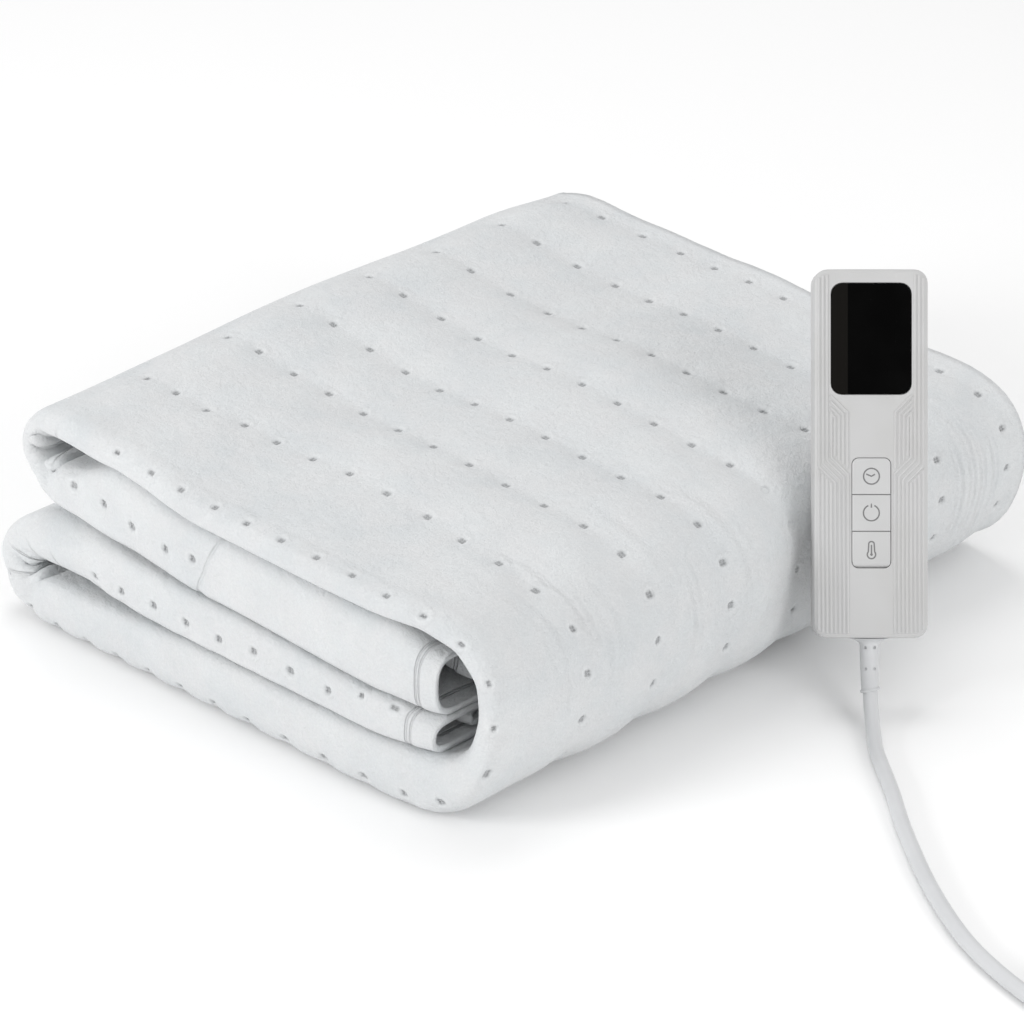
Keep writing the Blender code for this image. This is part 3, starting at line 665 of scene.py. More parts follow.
def foldHeight(length, across):
    # the soft troughs and ridges
    height = 0.0
    for startLength, startAcross, endLength, endAcross, peak, width in folds:
        run = Vector((endLength - startLength, endAcross - startAcross))
        here = Vector((length - startLength, across - startAcross))
        t = here.dot(run) / run.length_squared
        if -0.3 < t < 1.3:
            bow = foldBow * math.sin(math.pi * min(max(t, 0.0), 1.0))
            off = abs((here - run * t).length - bow)
            height += peak / 1000.0 * bell(off, width) * ramp(t, -0.3, 0.2) * ramp(t, 1.3, 0.8)
    return height


def layCloth(lengths, profile, apex):
    # the sheet's middle surface, where each point is on the route, and its distance from the crest
    crestEnd = apex + blanket["crestSteps"] // 2
    grid = np.zeros((len(lengths), len(profile), 3))
    across = np.zeros((len(lengths), len(profile)))
    stations = {}
    for i, length in enumerate(lengths):
        firstShift, firstDrift = (value / 1000.0 for value in valuesAt(firstRow, length))
        topRows = [(y, *valuesAt(rows, length)) for y, rows in upperRows]
        outerSquare, innerSquare, forward = valuesAt(crestShape, length)
        for j, (y, layer, side) in enumerate(profile):
            if abs(side) < 1.0:
                y, layer = crestPlace(side, outerSquare, innerSquare)
            shift, drift = 0.0, 0.0
            if j < apex:
                for middle, rowShift, rowDrift in topRows:
                    share = hump((y - middle) / spots["upperRowReach"])
                    shift += share * rowShift / 1000.0
                    drift += share * rowDrift / 1000.0
            if j <= crestEnd:
                shift += firstShift * (1.0 - ramp(y, *spots["firstRowReach"]))
            leg, t = stationAt(length - shift)
            stations[i, j] = leg, t
            x, z = placeAlong(leg, t, 1.0 - ramp(y, *blanket["crestBlend"]), layer)
            if j > crestEnd + 2:
                x += wavyHem(leg, t, y, layer)
            ahead = forward / 1000.0 * (1.0 - ramp(y, *blanket["forwardBlend"]))
            grid[i, j] = settle(x, blanket["frontY"] + y - ahead - drift, z)
        arc = np.concatenate(([0.0], np.cumsum(np.linalg.norm(np.diff(grid[i], axis=0), axis=1))))
        across[i] = arc[apex] - arc + firstDrift
        for j, (y, _, _) in enumerate(profile[:apex]):
            across[i, j] += (y + blanket["crestExtra"] - across[i, j]) * ramp(y, *blanket["acrossBlend"])
    return grid, across, stations


def creaseDepth(name, t, y, side):
    # how deep the radial creases are at this point inside a loop
    inner = ramp(side, 0.75, -0.35) * (1.0 - ramp(y, 0.020, 0.050))
    depth = 0.0
    for angle, peak, width in loopCreases[name]:
        bent = angle + 0.10 * math.sin(3.0 * side + 5.0 * angle)
        depth += peak / 1000.0 * bell(math.pi * t - bent, width) * inner
    return depth


def pressAndSew(lengths, profile, across, stations):
    # for each point: how far it is pushed out, how thick the cloth is, and whether it has spots
    push, thickness, spotted = np.zeros(across.shape), np.zeros(across.shape), np.zeros(across.shape)
    for i, length in enumerate(lengths):
        fromEnd = min(length - clothStart, clothEnd - length)
        for j, (y, layer, side) in enumerate(profile):
            leg, t = stations[i, j]
            v = across[i, j]
            inside = layer <= -1.4
            thick = thicknessShares["plain"]
            if hasSpots(length, v):
                spotted[i, j] = 1.0
                away, fromRow = fromSpot(length, v)
                thick -= thicknessShares["spot"] * bell(away, spots["radius"])
                if not inside:
                    rowPress = spots["rowDepth"] * bell(fromRow, spots["rowWidth"])
                    push[i, j] -= rowPress * ramp(v, *spots["rowBlend"])
                    push[i, j] -= spots["softDepth"] * bell(away, spots["softRadius"])
                    push[i, j] -= spots["depth"] * bell(away, spots["radius"])
            if layer == 1.5:
                push[i, j] += foldHeight(length, v)
            if leg[0] in loopCreases and side < 0.75 and layer <= 1.45:
                push[i, j] -= creaseDepth(leg[0], t, y, side)
            if not inside:
                seamLength = seam["at"] + seam["slope"] * min(v, seam["bend"])
                push[i, j] -= seam["depth"] * bell(length - seamLength, seam["width"])
            inHem = 1.0 - ramp(fromEnd, hem["width"] - hem["step"], hem["width"])
            thick += thicknessShares["hem"] * inHem
            thick -= thicknessShares["stitches"] * bell(fromEnd - hem["width"], hem["stitchWidth"])
            thickness[i, j] = thick
    return push, thickness, spotted


def makeSheet():
    lengths, profile = clothLengths(), foldProfile()
    apex = next(j for j, row in enumerate(profile) if abs(row[0]) < 1e-9)
    grid, across, stations = layCloth(lengths, profile, apex)
    push, thickness, spotted = pressAndSew(lengths, profile, across, stations)
    normal = np.cross(np.gradient(grid, axis=1), np.gradient(grid, axis=0))
    normal /= np.maximum(np.linalg.norm(normal, axis=2, keepdims=True), 1e-12)
    grid += normal * push[:, :, None]
    grid[:, :, 2] = np.maximum(grid[:, :, 2], 0.5 * blanket["thickness"] * thickness)
    return lengths, grid, across, spotted, thickness


def makeBlanket(finish):
    lengths, grid, across, spotted, thickness = makeSheet()
    rows, columns = across.shape
    faces = [
        (i * columns + j, i * columns + j + 1, (i + 1) * columns + j + 1, (i + 1) * columns + j)
        for i in range(rows - 1) for j in range(columns - 1)
    ]
    mesh = bpy.data.meshes.new("blanket_sheet")
    mesh.from_pydata(grid.reshape(-1, 3).tolist(), [], faces)
    mesh.update()
    layout = mesh.uv_layers.new(name="cloth")
    corners = np.zeros(len(mesh.loops), np.int32)
    mesh.loops.foreach_get("vertex_index", corners)
    places = np.stack([np.repeat(lengths, columns)[corners], across.reshape(-1)[corners]], axis=1)
    layout.data.foreach_set("uv", places.astype(np.float32).ravel())
    mark = mesh.attributes.new("spotted", "FLOAT", "POINT")
    mark.data.foreach_set("value", spotted.reshape(-1).astype(np.float32))
    sheet = bpy.data.objects.new("blanket_sheet", mesh)
    bpy.context.scene.collection.objects.link(sheet)
    group = sheet.vertex_groups.new(name="thickness")
    for index, weight in enumerate(thickness.reshape(-1)):
        group.add([index], float(weight), "REPLACE")
    solid = sheet.modifiers.new("cloth thickness", "SOLIDIFY")
    solid.thickness = blanket["thickness"]
    solid.offset = 0.0
    solid.vertex_group = "thickness"
    applyModifiers(sheet)
    bpy.ops.object.shade_smooth()
    finishPiece(sheet, "blanket_sheet", finish, "root", "fleece", "blanket")
    print("blanket:", rows, "x", columns, "lines,", len(sheet.data.polygons) * 2, "triangles,",
          "cloth from", round(clothStart, 4), "to", round(clothEnd, 4))


fleece = {
    "cool": (0.625, 0.648, 0.662),
    "bright": (0.690, 0.706, 0.714),
    "warm": (0.690, 0.690, 0.695),
    "fibreShade": (0.52, 0.54, 0.555),
    # painted highlight: the puffed ring round each spot is coloured lighter
    "spotRingHighlight": (0.735, 0.748, 0.755),
    # painted shade: each spot's dimple is coloured darker
    "dimplePaintedShade": (0.40, 0.42, 0.43),
    # painted shade: the four pin pits of each spot are coloured dark
    "pinPaintedShade": (0.17, 0.18, 0.19),
    "stitchShade": (0.45, 0.47, 0.48),
    "seamShade": (0.50, 0.52, 0.53),
    # painted shade: the creases into the loops are coloured darker
    "creasePaintedShade": (0.45, 0.47, 0.48),
    "pinOffset": 0.0008,         # each spot is four pin marks, this far from its middle both ways
    "pin": (0.00005, 0.00130),   # distances where each mark is full and where it ends
    "dimple": (0.0008, 0.0034),
    "ring": (0.0030, 0.0068),
    "stitches": (0.0001, 0.0006),
    "seam": (0.0002, 0.0014),
    "inwards": (0.004, 0.019),   # the creases into the loops end between these
    "relief": 0.0012,
}


def fleeceFinish():
    made = Finish("white spot-bonded fleece", Roughness=0.95, Sheen_Weight=0.25, Sheen_Roughness=0.6)
    place = made.coordinates()
    cloth = made.node("ShaderNodeUVMap", {"uv_map": "cloth"})
    along, across = (made.node("ShaderNodeSeparateXYZ", None, {0: cloth}, output=i) for i in range(2))
    spotted = made.node("ShaderNodeAttribute", {"attribute_name": "spotted"}, output=2)
    column = (along - spots["phase"]).fromNearest(spots["pitch"])
    row = (across - spots["rowPhase"]).fromNearest(spots["rowPitch"])
    pinX, pinY = column - fleece["pinOffset"], row - fleece["pinOffset"]
    pins = (pinX * pinX + pinY * pinY).root().fade(*fleece["pin"]) * spotted
    fromMiddle = (column * column + row * row).root()
    dimple = fromMiddle.fade(*fleece["dimple"]) * spotted
    ring = fromMiddle.fade(*fleece["ring"]) * spotted
    fromEnd = (along - clothStart).least(clothEnd - along)
    stitches = abs(abs(fromEnd - hem["width"]) - hem["stitchGap"] / 2.0).fade(*fleece["stitches"])
    seamLength = across.least(seam["bend"]) * seam["slope"] + seam["at"]
    seamLine = abs(along - seamLength).fade(*fleece["seam"])

    ripples, creases = 0.0, 0.0
    for middle, half, fromCrest, bow, width in wrapCreases:
        t = (along - middle) / half
        ripples = ripples + abs(across - (t * t * bow + fromCrest)).fade(0.0, width) * abs(t).fade(0.1, 1.3)
    inwards = across.fade(*fleece["inwards"])
    for length, lean, width in loopLines:
        creases = creases + abs(along - (across * lean + length)).fade(0.0, width) * inwards

    fibres = made.noise(place, 900.0, 5.0, 0.65)
    tufts = made.noise(place, 210.0, 3.0, 0.6)
    clouds = made.noise(place, 26.0, 3.0, 0.55)
    tint = made.noise(place, 55.0, 2.0, 0.5)
    white = made.mix(clouds.fade(0.70, 0.30), paint(*fleece["cool"]), paint(*fleece["bright"]))
    for share, shade in (
        (tint.fade(0.35, 0.65) * 0.5, "warm"),
        (fibres.fade(0.62, 0.36) * 0.20, "fibreShade"),
        # painted highlight on the ring round each spot
        (ring * 0.30, "spotRingHighlight"),
        # painted shade in each spot's dimple
        (dimple * 0.24, "dimplePaintedShade"),
        # painted shade in the pin pits
        (pins * 0.31, "pinPaintedShade"),
        (stitches * 0.30, "stitchShade"),
        (seamLine * 0.18, "seamShade"),
        # painted shade along the creases into the loops
        (creases.clamped() * 0.14, "creasePaintedShade"),
    ):
        white = made.mix(share, white, paint(*fleece[shade]))
    made.feed("Base Color", white)
    made.feed("Roughness", 0.90 + 0.09 * tufts)
    height = fibres * 0.50 + tufts * 1.1 - pins * 0.9 - stitches * 0.8 - seamLine * 0.6 - creases * 1.1
    height = height + ring * 0.7 - dimple * 0.7 - ripples * (0.9 + made.noise(place, 40.0))
    made.feed("Normal", made.bump(height, fleece["relief"], 0.90))
    return made.material


# plastics, rubber and metal
def plasticFinish(name, colour, darker, roughness):
    made = Finish(name)
    place = made.coordinates()
    speckle = made.noise(place, 1400.0, 3.0, 0.6)
    cloud = made.noise(place, 30.0)
    made.feed("Base Color", made.mix(cloud.fade(0.65, 0.35) * 0.6, paint(*colour), paint(*darker)))
    made.feed("Roughness", roughness + 0.10 * (speckle - 0.5) + 0.06 * (cloud - 0.5))
    made.feed("Normal", made.bump(speckle, 0.00002, 0.5))
    return made.material


def glassFinish():
    # black glass, with painted light: the facet left of the middle band is coloured a little lighter
    made = Finish("black display", Specular_IOR_Level=0.02)
    place = made.coordinates()
    film = made.noise(place, 60.0)
    black = made.mix(film.fade(0.7, 0.3) * 0.5, paint(0.0015, 0.0015, 0.0015), paint(0.003, 0.003, 0.003))
    acrossPlace = made.node("ShaderNodeVectorMath", {"operation": "DOT_PRODUCT"},
                            {0: place, 1: tuple(axisAcross)}, output=1)
    paintedLightFacet = acrossPlace.fade(leftFacetEdge - 0.0001, leftFacetEdge + 0.0001)
    made.feed("Base Color", made.mix(paintedLightFacet, black, paint(0.0085, 0.0078, 0.0070)))
    made.feed("Roughness", 0.07 + 0.06 * film)
    return made.material


def rubberFinish():
    made = Finish("white lead", Specular_IOR_Level=0.45)
    place = made.coordinates()
    skin = made.noise(place, 700.0, 3.0, 0.6)
    scuffs = made.noise(place, 45.0, 3.0, 0.6)
    made.feed("Base Color", made.mix(scuffs.fade(0.68, 0.34) * 0.5, paint(0.610, 0.618, 0.628),
                                     paint(0.565, 0.572, 0.582)))
    made.feed("Roughness", 0.46 + 0.14 * scuffs)
    made.feed("Normal", made.bump(skin, 0.00004, 0.5))
    return made.material


def nickelFinish():
    made = Finish("nickel pins", Metallic=1.0)
    place = made.coordinates()
    brushed = made.noise(place, 500.0, 3.0, 0.6, stretch=(1.0, 0.08, 1.0))
    made.feed("Base Color", made.mix(brushed, paint(0.66, 0.65, 0.63), paint(0.78, 0.77, 0.75)))
    made.feed("Roughness", 0.20 + 0.16 * brushed)
    made.feed("Normal", made.bump(brushed, 0.00002, 0.4))
    return made.material


# The controller's place and its moulded body, which the lead, the raised lines and the buttons start from.
controller = {
    "foot": Vector((0.2019, 0.0288, 0.0322)),   # middle of the body's lower end
    "lean": math.radians(27.0),
    "heading": math.radians(-46.5),
    "width": 0.052,
    "depth": 0.022,
    "corner": 0.0062,
    "centreBand": 0.0215,
    "facetDrop": 0.0014,
}


upright = Vector((0.0, 0.0, 1.0))


def controllerAxes():
    level = Vector((math.cos(controller["heading"]), math.sin(controller["heading"]), 0.0))
    along = -math.sin(controller["lean"]) * level + math.cos(controller["lean"]) * upright
    front = math.cos(controller["lean"]) * level + math.sin(controller["lean"]) * upright
    return along.cross(front), -front, along, level


axisAcross, axisBack, axisAlong, axisLevel = controllerAxes()
controllerTurn = Matrix((axisAcross, axisBack, axisAlong)).transposed().to_4x4()
controllerPlace = Matrix.Translation(controller["foot"]) @ controllerTurn
leftFacetEdge = controller["foot"].dot(axisAcross) - controller["centreBand"] / 2.0

lead = {
    "diameter": 0.0068,
    "bootStraight": 0.004,
    "bootBend": 0.0462,          # radius of the bend from the controller down to the floor
    "bootLength": 0.0250,
    "bootGap": 0.0003,
    "bootWidth": 0.0086,
    "bootTaper": 0.0006,
    "flareWidth": 0.0178,
    "flareLength": 0.0040,
    "lipWidth": 0.0092,
    "lipLength": 0.0014,
    "flexHolesAt": (0.0046, 0.0152),
    "flexHoleRadius": 0.00075,
    "flexHoleAcross": 0.0021,
    "hidden": 0.0040,            # how far the lead runs on inside the boot and the plug
    "coilCentre": (0.4550, -0.0850),
    "turnRadii": (0.0447, 0.0379, 0.0311, 0.0243, 0.0243, 0.0311, 0.0379, 0.0447),
    "rowHeights": (0.0045, 0.0113),
    "jogAngle": (math.radians(167.5), math.radians(257.5)),
    "climbTurns": (3.45, 4.0),   # where the lead climbs from the lower row of turns to the upper one
    "coilSteps": 320,
    "plugRear": Vector((0.4997, -0.0350, 0.00685)),
    "tailFallFromY": -0.0780,
}

# The lead's own points on the floor, from the foot of its bend to the coil: x, y.
cordRoute = (
    (0.2410, -0.0120),
    (0.2655, -0.0325),
    (0.2900, -0.0545),
    (0.3270, -0.0835),
    (0.3620, -0.1050),
    (0.3930, -0.1168),
    (0.4207, -0.1231),
)


def bootPoint(distance):
    # the lead's middle line this far below the body, and the way it runs there
    start = controller["foot"] - lead["bootStraight"] * axisAlong
    if distance <= lead["bootStraight"]:
        return controller["foot"] - distance * axisAlong, -axisAlong
    fall = math.pi / 2.0 - controller["lean"]
    turned = min((distance - lead["bootStraight"]) / lead["bootBend"], fall)
    slope = fall - turned
    ahead = lead["bootBend"] * (math.sin(fall) - math.sin(slope))
    down = lead["bootBend"] * (math.cos(slope) - math.cos(fall))
    point = start + ahead * axisLevel - down * upright
    return point, math.cos(slope) * axisLevel - math.sin(slope) * upright


def smoothLine(points, spacing):
    # a smooth curve through all the points
    made = []
    padded = [2.0 * points[0] - points[1], *points, 2.0 * points[-1] - points[-2]]
    for p0, p1, p2, p3 in zip(padded, padded[1:], padded[2:], padded[3:]):
        steps = max(1, round((p2 - p1).length / spacing))
        for i in range(steps):
            t = i / steps
            made.append(0.5 * (2.0 * p1 + (p2 - p0) * t + (2.0 * p0 - 5.0 * p1 + 4.0 * p2 - p3) * t * t
                               + (3.0 * p1 - p0 - 3.0 * p2 + p3) * t * t * t))
    return [*made, points[-1]]


def coilPoints():
    # circles joined by short jogs, inwards on the lower row and outwards on the upper one
    jogStart, entry = lead["jogAngle"]
    radii = lead["turnRadii"]
    lower, upper = lead["rowHeights"]
    leaves = math.tau * len(radii)      # due east, heading +Y
    points = []
    for i in range(lead["coilSteps"] + 1):
        angle = entry + (leaves - entry) * i / lead["coilSteps"]
        gone = (angle - entry) / math.tau
        turn = min(int(gone), len(radii) - 1)
        nextTurn = min(turn + 1, len(radii) - 1)
        jog = ramp(angle - (turn + 1) * math.tau, jogStart, entry)
        radius = radii[turn] + (radii[nextTurn] - radii[turn]) * jog
        height = lower + (upper - lower) * ramp(gone, *lead["climbTurns"])
        height -= (lower - lead["diameter"] / 2.0) * (1.0 - ramp(gone, 0.0, 0.12))
        points.append(Vector((lead["coilCentre"][0] + radius * math.cos(angle),
                              lead["coilCentre"][1] + radius * math.sin(angle), height)))
    return points


def cordPoints():
    bendEnd = lead["bootStraight"] + lead["bootBend"] * (math.pi / 2.0 - controller["lean"])
    start = lead["bootLength"] - lead["hidden"]
    rising = [bootPoint(start + (bendEnd - start) * i / 3)[0] for i in range(4)]
    floor = [Vector((x, y, lead["diameter"] / 2.0)) for x, y in cordRoute]
    coil = coilPoints()
    lying = smoothLine([*rising, *floor, coil[0]], 1.2 * lead["diameter"])
    plug, topZ, steps = lead["plugRear"], lead["rowHeights"][1], 8
    tail = []
    for i in range(1, steps + 1):
        y = coil[-1].y + (plug.y + lead["hidden"] - coil[-1].y) * i / steps
        fallen = ramp(y, lead["tailFallFromY"], plug.y)
        tail.append(Vector((plug.x, y, topZ + (plug.z - topZ) * fallen)))
    return lying[:-1] + coil + tail


def makeCord(finish):
    points = cordPoints()
    cord = roundBar("lead_cord", points, lead["diameter"] / 2.0, 5)
    finishPiece(cord, "lead_cord", finish, "root", "lead", "cord", "cord_coil", "cord_tail")
    length = sum((b - a).length for a, b in zip(points, points[1:]))
    print("lead:", round(length, 3), "m,", len(points), "points")
    return cord, length


def bootRows():
    # distance from the body and width: the flare, the taper and the lip
    lip, flareSteps, taperSteps = lead["bootLength"] - lead["lipLength"], 6, 12
    flareEnd = lead["bootGap"] + lead["flareLength"]
    rows = []
    for i in range(flareSteps + 1):
        t = i / flareSteps
        flared = (lead["flareWidth"] - lead["bootWidth"]) * (1.0 - t) ** 3.0
        rows.append((lead["bootGap"] + lead["flareLength"] * t, lead["bootWidth"] + flared))
    for i in range(1, taperSteps + 1):
        t = i / taperSteps
        rows.append((flareEnd + (lip - flareEnd) * t, lead["bootWidth"] - lead["bootTaper"] * t))
    rows += [(lip + 0.0001, lead["lipWidth"] - 0.0004), (lip + 0.0004, lead["lipWidth"])]
    rows.append((lead["bootLength"] - 0.0003, lead["lipWidth"]))
    rows.append((lead["bootLength"], lead["lipWidth"] - 0.0006))
    return rows


def bendMatrix(axis):
    side = axis.orthogonal().normalized()
    return Matrix((side, axis.cross(side), axis))


def makeBoot(finish):
    # a flared boot, drawn out ring by ring along the bend, with two pairs of flex holes
    rows = bootRows()
    bpy.ops.mesh.primitive_circle_add(vertices=40, radius=0.5, fill_type="NGON")
    boot = bpy.context.object
    last, lastWay = bootPoint(rows[0][0])
    lastWidth = rows[0][1]
    turn = Matrix((axisAcross, lastWay.cross(axisAcross), lastWay)).transposed()
    for vertex in boot.data.vertices:
        vertex.co = last + turn @ (vertex.co * lastWidth)
    bpy.ops.object.mode_set(mode="EDIT")
    bpy.ops.mesh.select_all(action="SELECT")
    for distance, width in rows[1:]:
        point, way = bootPoint(distance)
        bpy.ops.mesh.extrude_region_move(TRANSFORM_OT_translate={"value": point - last})
        bend = lastWay.rotation_difference(way)
        if bend.angle > 1e-5:
            bpy.ops.transform.rotate(value=-bend.angle, orient_axis="Z", orient_type="GLOBAL",
                                     orient_matrix=bendMatrix(bend.axis), center_override=point)
        bpy.ops.transform.resize(value=(width / lastWidth,) * 3, center_override=point)
        last, lastWay, lastWidth = point, way, width
    bpy.ops.mesh.select_all(action="SELECT")
    bpy.ops.mesh.normals_make_consistent(inside=False)
    bpy.ops.object.mode_set(mode="OBJECT")
    for distance in lead["flexHolesAt"]:
        for side in (-1.0, 1.0):
            cutFlexHole(boot, distance, side)
    smoothShade(boot, 45.0)
    return finishPiece(boot, "lead_boot", finish, "root", "lead", "strain_relief")


def cutFlexHole(boot, distance, side):
    point, way = bootPoint(distance)
    outwards = way.cross(axisAcross)
    bpy.ops.mesh.primitive_cylinder_add(vertices=20, radius=lead["flexHoleRadius"], depth=0.0040)
    cutter = bpy.context.object
    place = point + side * lead["flexHoleAcross"] * axisAcross + outwards * 0.0047
    turn = Matrix((axisAcross, outwards.cross(axisAcross), outwards)).transposed().to_4x4()
    cutter.data.transform(Matrix.Translation(place) @ turn)
    cut = boot.modifiers.new("flex hole", "BOOLEAN")
    cut.operation = "DIFFERENCE"
    cut.solver = "EXACT"
    cut.object = cutter
    applyModifiers(boot)
    bpy.data.objects.remove(cutter)


finishes = {
    "fleece": fleeceFinish(),
    "housing": plasticFinish("pale grey housing", (0.525, 0.525, 0.525), (0.490, 0.488, 0.482), 0.42),
    "buttons": plasticFinish("pale grey buttons", (0.540, 0.541, 0.541), (0.505, 0.505, 0.505), 0.38),
    "ink": plasticFinish("grey symbols", (0.185, 0.185, 0.187), (0.160, 0.160, 0.160), 0.55),
    "display": glassFinish(),
    "lead": rubberFinish(),
    "ties": plasticFinish("white ties", (0.740, 0.740, 0.740), (0.690, 0.690, 0.690), 0.50),
    "pins": nickelFinish(),
}
print("materials made:", len(finishes))

# the CAD nodes that stay as they are, with the finish of each
carriedOver = {
    "plug_body": "lead",
    "plug_pin_left": "pins",
    "plug_pin_right": "pins",
    "cord_tie_a": "ties",
    "cord_tie_b": "ties",
    "controller_front": "housing",
    "controller_back": "housing",
    "display": "display",
}
for name, finishName in carriedOver.items():
    dress(nodes[name], finishes[finishName])

cord, cordLength = makeCord(finishes["lead"])
boot = makeBoot(finishes["lead"])
bootPoint(lead["bootLength"])[0]
print("lead laid")

makeBlanket(finishes["fleece"])


# The controller's raised lines. x is from its middle and z from its lower end.
ribs = {
    "count": 4,
    "pitch": 0.0019,
    "radius": 0.00080,
    "sunk": 0.00030,
    "upperFirst": 0.0181,            # x of the innermost line beside the display
    "middleFirst": 0.0109,           # beside the buttons
    "lowerFirst": 0.0106,            # and below them
    "topEnd": 0.1655,
    "shortTop": 0.1030,              # the innermost upper line ends here
    "upperKnee": (0.0747, 0.0013),   # z on the innermost line, and the fall from each to the next
    "middleTop": (0.1105, 0.0027),
    "middleTopX": 0.0185,
    "middleEnd": 0.0772,
    "lowerTop": 0.0690,
    "lowerEnd": 0.0022,
}

buttons = {
    "names": ("heat", "power", "timer"),     # from the lowest
    "width": 0.0174,
    "length": 0.0164,
    "gap": 0.0003,
    "depth": 0.0036,
    "proud": 0.0003,
    "corner": 0.0028,
    "softEdge": 0.00032,
    "crown": 0.00022,
    "blockCentre": 0.0570,
    "dishInset": 0.0022,
    "dishSteps": (0.00035, 0.00014),
}

symbols = {
    "stroke": 0.00034,
    "flatness": 0.18,
    "ring": 0.0036,
    "hands": ((-0.0024, 0.0010), (0.0, 0.0), (0.0016, 0.0009)),
    "powerArc": (112.0, 428.0),
    "powerBar": (0.0044, 0.0024),
    "bulbZ": -0.0022,
    "bulbRadius": 0.0019,
    "tubeTopZ": 0.0024,
    "tubeRadius": 0.0013,
}


def faceDepth(x):
    # how far the faceted front stands out from the body's middle at x
    band = controller["centreBand"] / 2.0
    out = (abs(x) - band) / (controller["width"] / 2.0 - band)
    return controller["depth"] / 2.0 - controller["facetDrop"] * min(max(out, 0.0), 1.0)


def cornerInset(x):
    # how far the body's rounded corner comes in from its end at x
    past = abs(x) - (controller["width"] / 2.0 - controller["corner"])
    if past <= 0.0:
        return 0.0
    return controller["corner"] - math.sqrt(max(controller["corner"] ** 2 - past ** 2, 0.0))


def wireAlong(name, points, radius, closed=False):
    # a thin round wire along points in the controller's own axes, as a mesh
    selectOnly(roundBar(name, points, radius, 2, closed))
    bpy.ops.object.convert(target="MESH")
    return bpy.context.object


def ribPaths():
    # x and z along the body; the same on both sides
    pitch, count = ribs["pitch"], ribs["count"]
    kneeZ, kneeFall = ribs["upperKnee"]
    startZ, startFall = ribs["middleTop"]
    paths = []
    for i in range(count):
        x, foot = ribs["upperFirst"] + pitch * i, ribs["lowerFirst"] + pitch * i
        top = ribs["shortTop"] if i == 0 else ribs["topEnd"] - cornerInset(x)
        knee = kneeZ - kneeFall * i
        end = ribs["lowerEnd"] + cornerInset(foot)
        paths.append([(x, top), (x, knee + (x - foot)), (foot, knee), (foot, end)])
    for i in range(count):
        x, start = ribs["middleFirst"] + pitch * i, startZ - startFall * i
        knee = start - (ribs["middleTopX"] - x)
        paths.append([(ribs["middleTopX"], start), (x, knee), (x, ribs["middleEnd"] + pitch * i)])
    for i in range(1, count + 1):
        x = ribs["lowerFirst"] + pitch * (count - 1 + i)
        paths.append([(x, ribs["lowerTop"] + pitch * i), (x, ribs["lowerEnd"] + cornerInset(x))])
    return paths


def makeRibs(finish):
    wires = []
    for side in (-1.0, 1.0):
        for path in ribPaths():
            points = [(side * x, -(faceDepth(x) - ribs["sunk"]), z) for x, z in path]
            wires.append(wireAlong("rib", points, ribs["radius"]))
    made = joinAs("controller_ribs", wires)
    made.data.transform(controllerPlace)
    smoothShade(made, 50.0)
    finishPiece(made, "controller_ribs", finish, "root", "housing")


def makeButton(index, name, finish):
    # a cap with rounded outer corners, a soft edge, and a shallow dish on the middle one
    last = len(buttons["names"]) - 1
    pitch = buttons["length"] + buttons["gap"]
    centreZ = buttons["blockCentre"] + (index - last / 2.0) * pitch
    front = controller["depth"] / 2.0 + buttons["proud"]
    size = Vector((buttons["width"], buttons["depth"], buttons["length"]))
    middle = Vector((0.0, buttons["depth"] / 2.0 - front, centreZ))
    bpy.ops.mesh.primitive_cube_add(size=1.0)
    cap = bpy.context.object
    for vertex in cap.data.vertices:
        vertex.co = middle + vertex.co * size
    bpy.ops.object.mode_set(mode="EDIT")
    bpy.ops.mesh.select_all(action="DESELECT")
    bpy.ops.object.mode_set(mode="OBJECT")
    if index in (0, last):
        outwards = -1.0 if index == 0 else 1.0
        for edge in cap.data.edges:
            start, end = (cap.data.vertices[i].co for i in edge.vertices)
            throughDepth = abs(start.y - end.y) > buttons["depth"] / 2.0
            edge.select = throughDepth and (start.z - centreZ) * outwards > 0.0
        bpy.ops.object.mode_set(mode="EDIT")
        bpy.ops.mesh.bevel(offset=buttons["corner"], segments=8, affect="EDGES")
        bpy.ops.object.mode_set(mode="OBJECT")
    for face in cap.data.polygons:
        face.select = face.normal.y < -0.9
    bpy.ops.object.mode_set(mode="EDIT")
    bpy.ops.mesh.select_mode(type="FACE")
    bpy.ops.mesh.inset(thickness=buttons["softEdge"])
    bpy.ops.transform.translate(value=(0.0, -buttons["crown"], 0.0))
    face = front + buttons["crown"]
    if name == "power":
        for step in buttons["dishSteps"]:
            bpy.ops.mesh.inset(thickness=buttons["dishInset"])
            bpy.ops.transform.translate(value=(0.0, step, 0.0))
            face -= step
    bpy.ops.object.mode_set(mode="OBJECT")
    cap.data.transform(controllerPlace)
    smoothShade(cap, 30.0)
    finishPiece(cap, "button_cap_" + name, finish, name + "_button", "buttons", "button_" + name)
    return centreZ, face


def circlePoints(radius, centreZ, depth, start=0.0, end=360.0, steps=40):
    made = []
    for i in range(steps + 1):
        a = math.radians(start + (end - start) * i / steps)
        made.append((radius * math.cos(a), -depth, centreZ + radius * math.sin(a)))
    return made


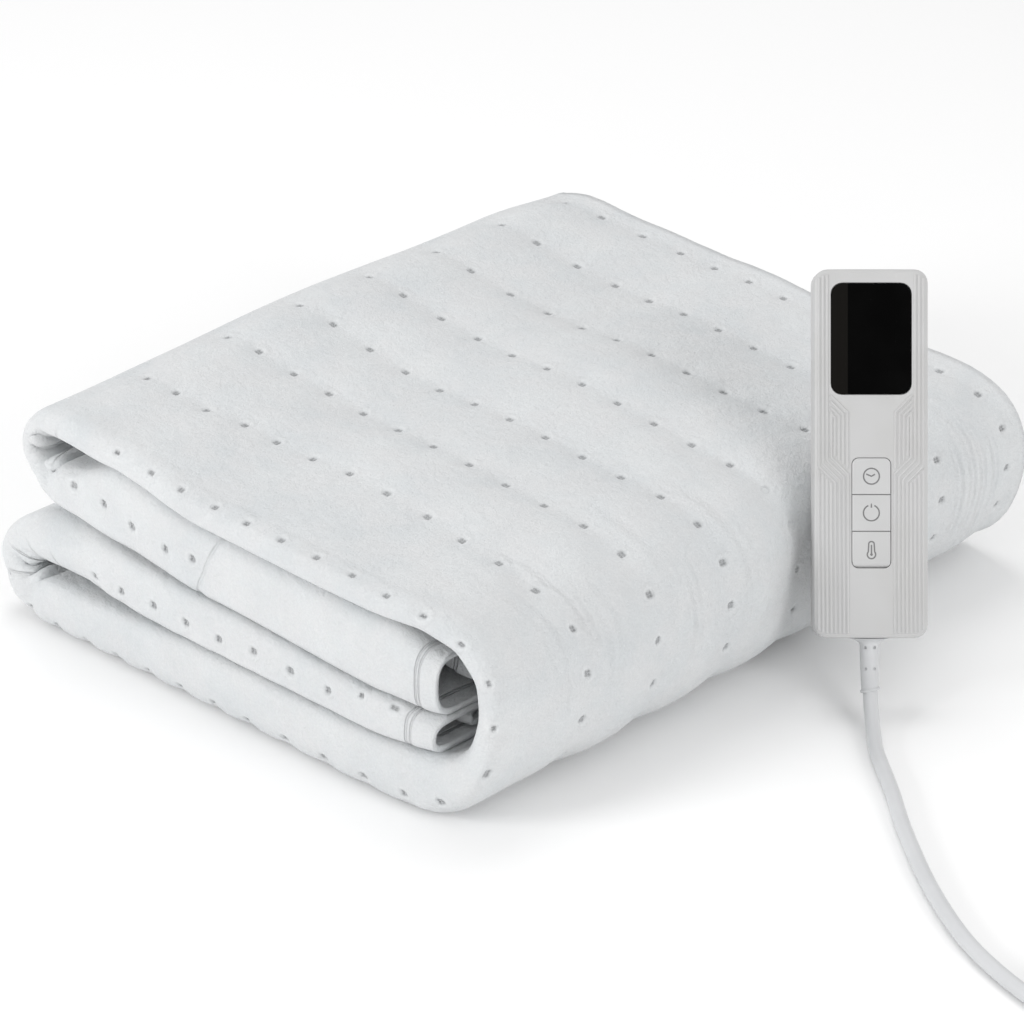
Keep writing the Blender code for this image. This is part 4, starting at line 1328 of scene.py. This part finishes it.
def makeSymbol(name, centreZ, depth, finish):
    # a line symbol on the cap, each stroke a flattened wire; a closed ring's last point is its first
    stroke = symbols["stroke"]
    if name == "timer":
        ring = circlePoints(symbols["ring"], centreZ, depth)[:-1]
        hands = [(x, -depth, centreZ + z) for x, z in symbols["hands"]]
        wires = [wireAlong("ring", ring, stroke, True), wireAlong("hands", hands, stroke)]
    elif name == "power":
        ring = circlePoints(symbols["ring"], centreZ, depth, *symbols["powerArc"])
        bar = [(0.0, -depth, centreZ + z) for z in symbols["powerBar"]]
        wires = [wireAlong("ring", ring, stroke), wireAlong("bar", bar, stroke)]
    else:
        bulbZ, tubeTopZ = centreZ + symbols["bulbZ"], centreZ + symbols["tubeTopZ"]
        outline = circlePoints(symbols["bulbRadius"], bulbZ, depth, 140.0, 400.0, 24)
        outline += circlePoints(symbols["tubeRadius"], tubeTopZ, depth, 20.0, 160.0, 14)
        column = [(0.0, -depth, z) for z in (bulbZ, tubeTopZ - 0.0002)]
        bulb = circlePoints(0.0003, bulbZ, depth, steps=12)[:-1]
        wires = [wireAlong("glass", outline, stroke, True), wireAlong("column", column, stroke),
                 wireAlong("bulb", bulb, stroke, True)]
    made = joinAs("symbol_" + name, wires)
    for vertex in made.data.vertices:
        vertex.co.y = -depth + (vertex.co.y + depth) * symbols["flatness"]
    made.data.transform(controllerPlace)
    finishPiece(made, "symbol_" + name, finish, name + "_button", "buttons")


makeRibs(finishes["housing"])
for index, name in enumerate(buttons["names"]):
    centreZ, face = makeButton(index, name, finishes["buttons"])
    makeSymbol(name, centreZ, face, finishes["ink"])
print("controller made")


# the floor, the studio light and the white room
stageSetup = {
    "floorSize": 6.0,
    "floorZ": -0.0004,
    "floorColour": (0.97, 0.97, 0.97),
    "worldStrength": 0.66,
    # name: place, looks at, size, power in watts
    "lights": {
        "overhead": ((-0.60, 0.50, 1.90), (0.0, 0.0, 0.05), 1.2, 9.0),
        "front": ((-0.80, -1.90, 0.85), (0.0, 0.0, 0.06), 0.9, 20.0),
        "side": ((1.90, -0.20, 0.90), (0.15, 0.0, 0.06), 1.0, 12.0),
    },
}


def setStage(setup):
    deselectAll()
    bpy.ops.mesh.primitive_plane_add(size=setup["floorSize"], location=(0.0, 0.0, setup["floorZ"]))
    floor = bpy.context.object
    floor.name = "floor"
    bpy.ops.object.transform_apply(location=True, rotation=True, scale=True)
    made = Finish("pale floor", Roughness=0.85)
    grain = made.noise(made.coordinates(), 6.0, 3.0)
    darker = [value * 0.985 for value in setup["floorColour"]]
    made.feed("Base Color", made.mix(grain * 0.3, paint(*setup["floorColour"]), paint(*darker)))
    floor.data.materials.append(made.material)
    world = bpy.data.worlds.new("studio")
    world.use_nodes = True
    world.node_tree.nodes["Background"].inputs["Color"].default_value = paint(1.0, 1.0, 1.0)
    world.node_tree.nodes["Background"].inputs["Strength"].default_value = setup["worldStrength"]
    bpy.context.scene.world = world
    for name, (place, target, size, watts) in setup["lights"].items():
        bpy.ops.object.light_add(type="AREA", location=place)
        light = bpy.context.object
        light.name = name
        light.data.shape = "DISK"
        light.data.size = size
        light.data.energy = watts
        light.rotation_euler = (Vector(target) - Vector(place)).to_track_quat("-Z", "Y").to_euler()
    bpy.context.scene.view_settings.view_transform = "Standard"


setStage(stageSetup)
print("stage lit")
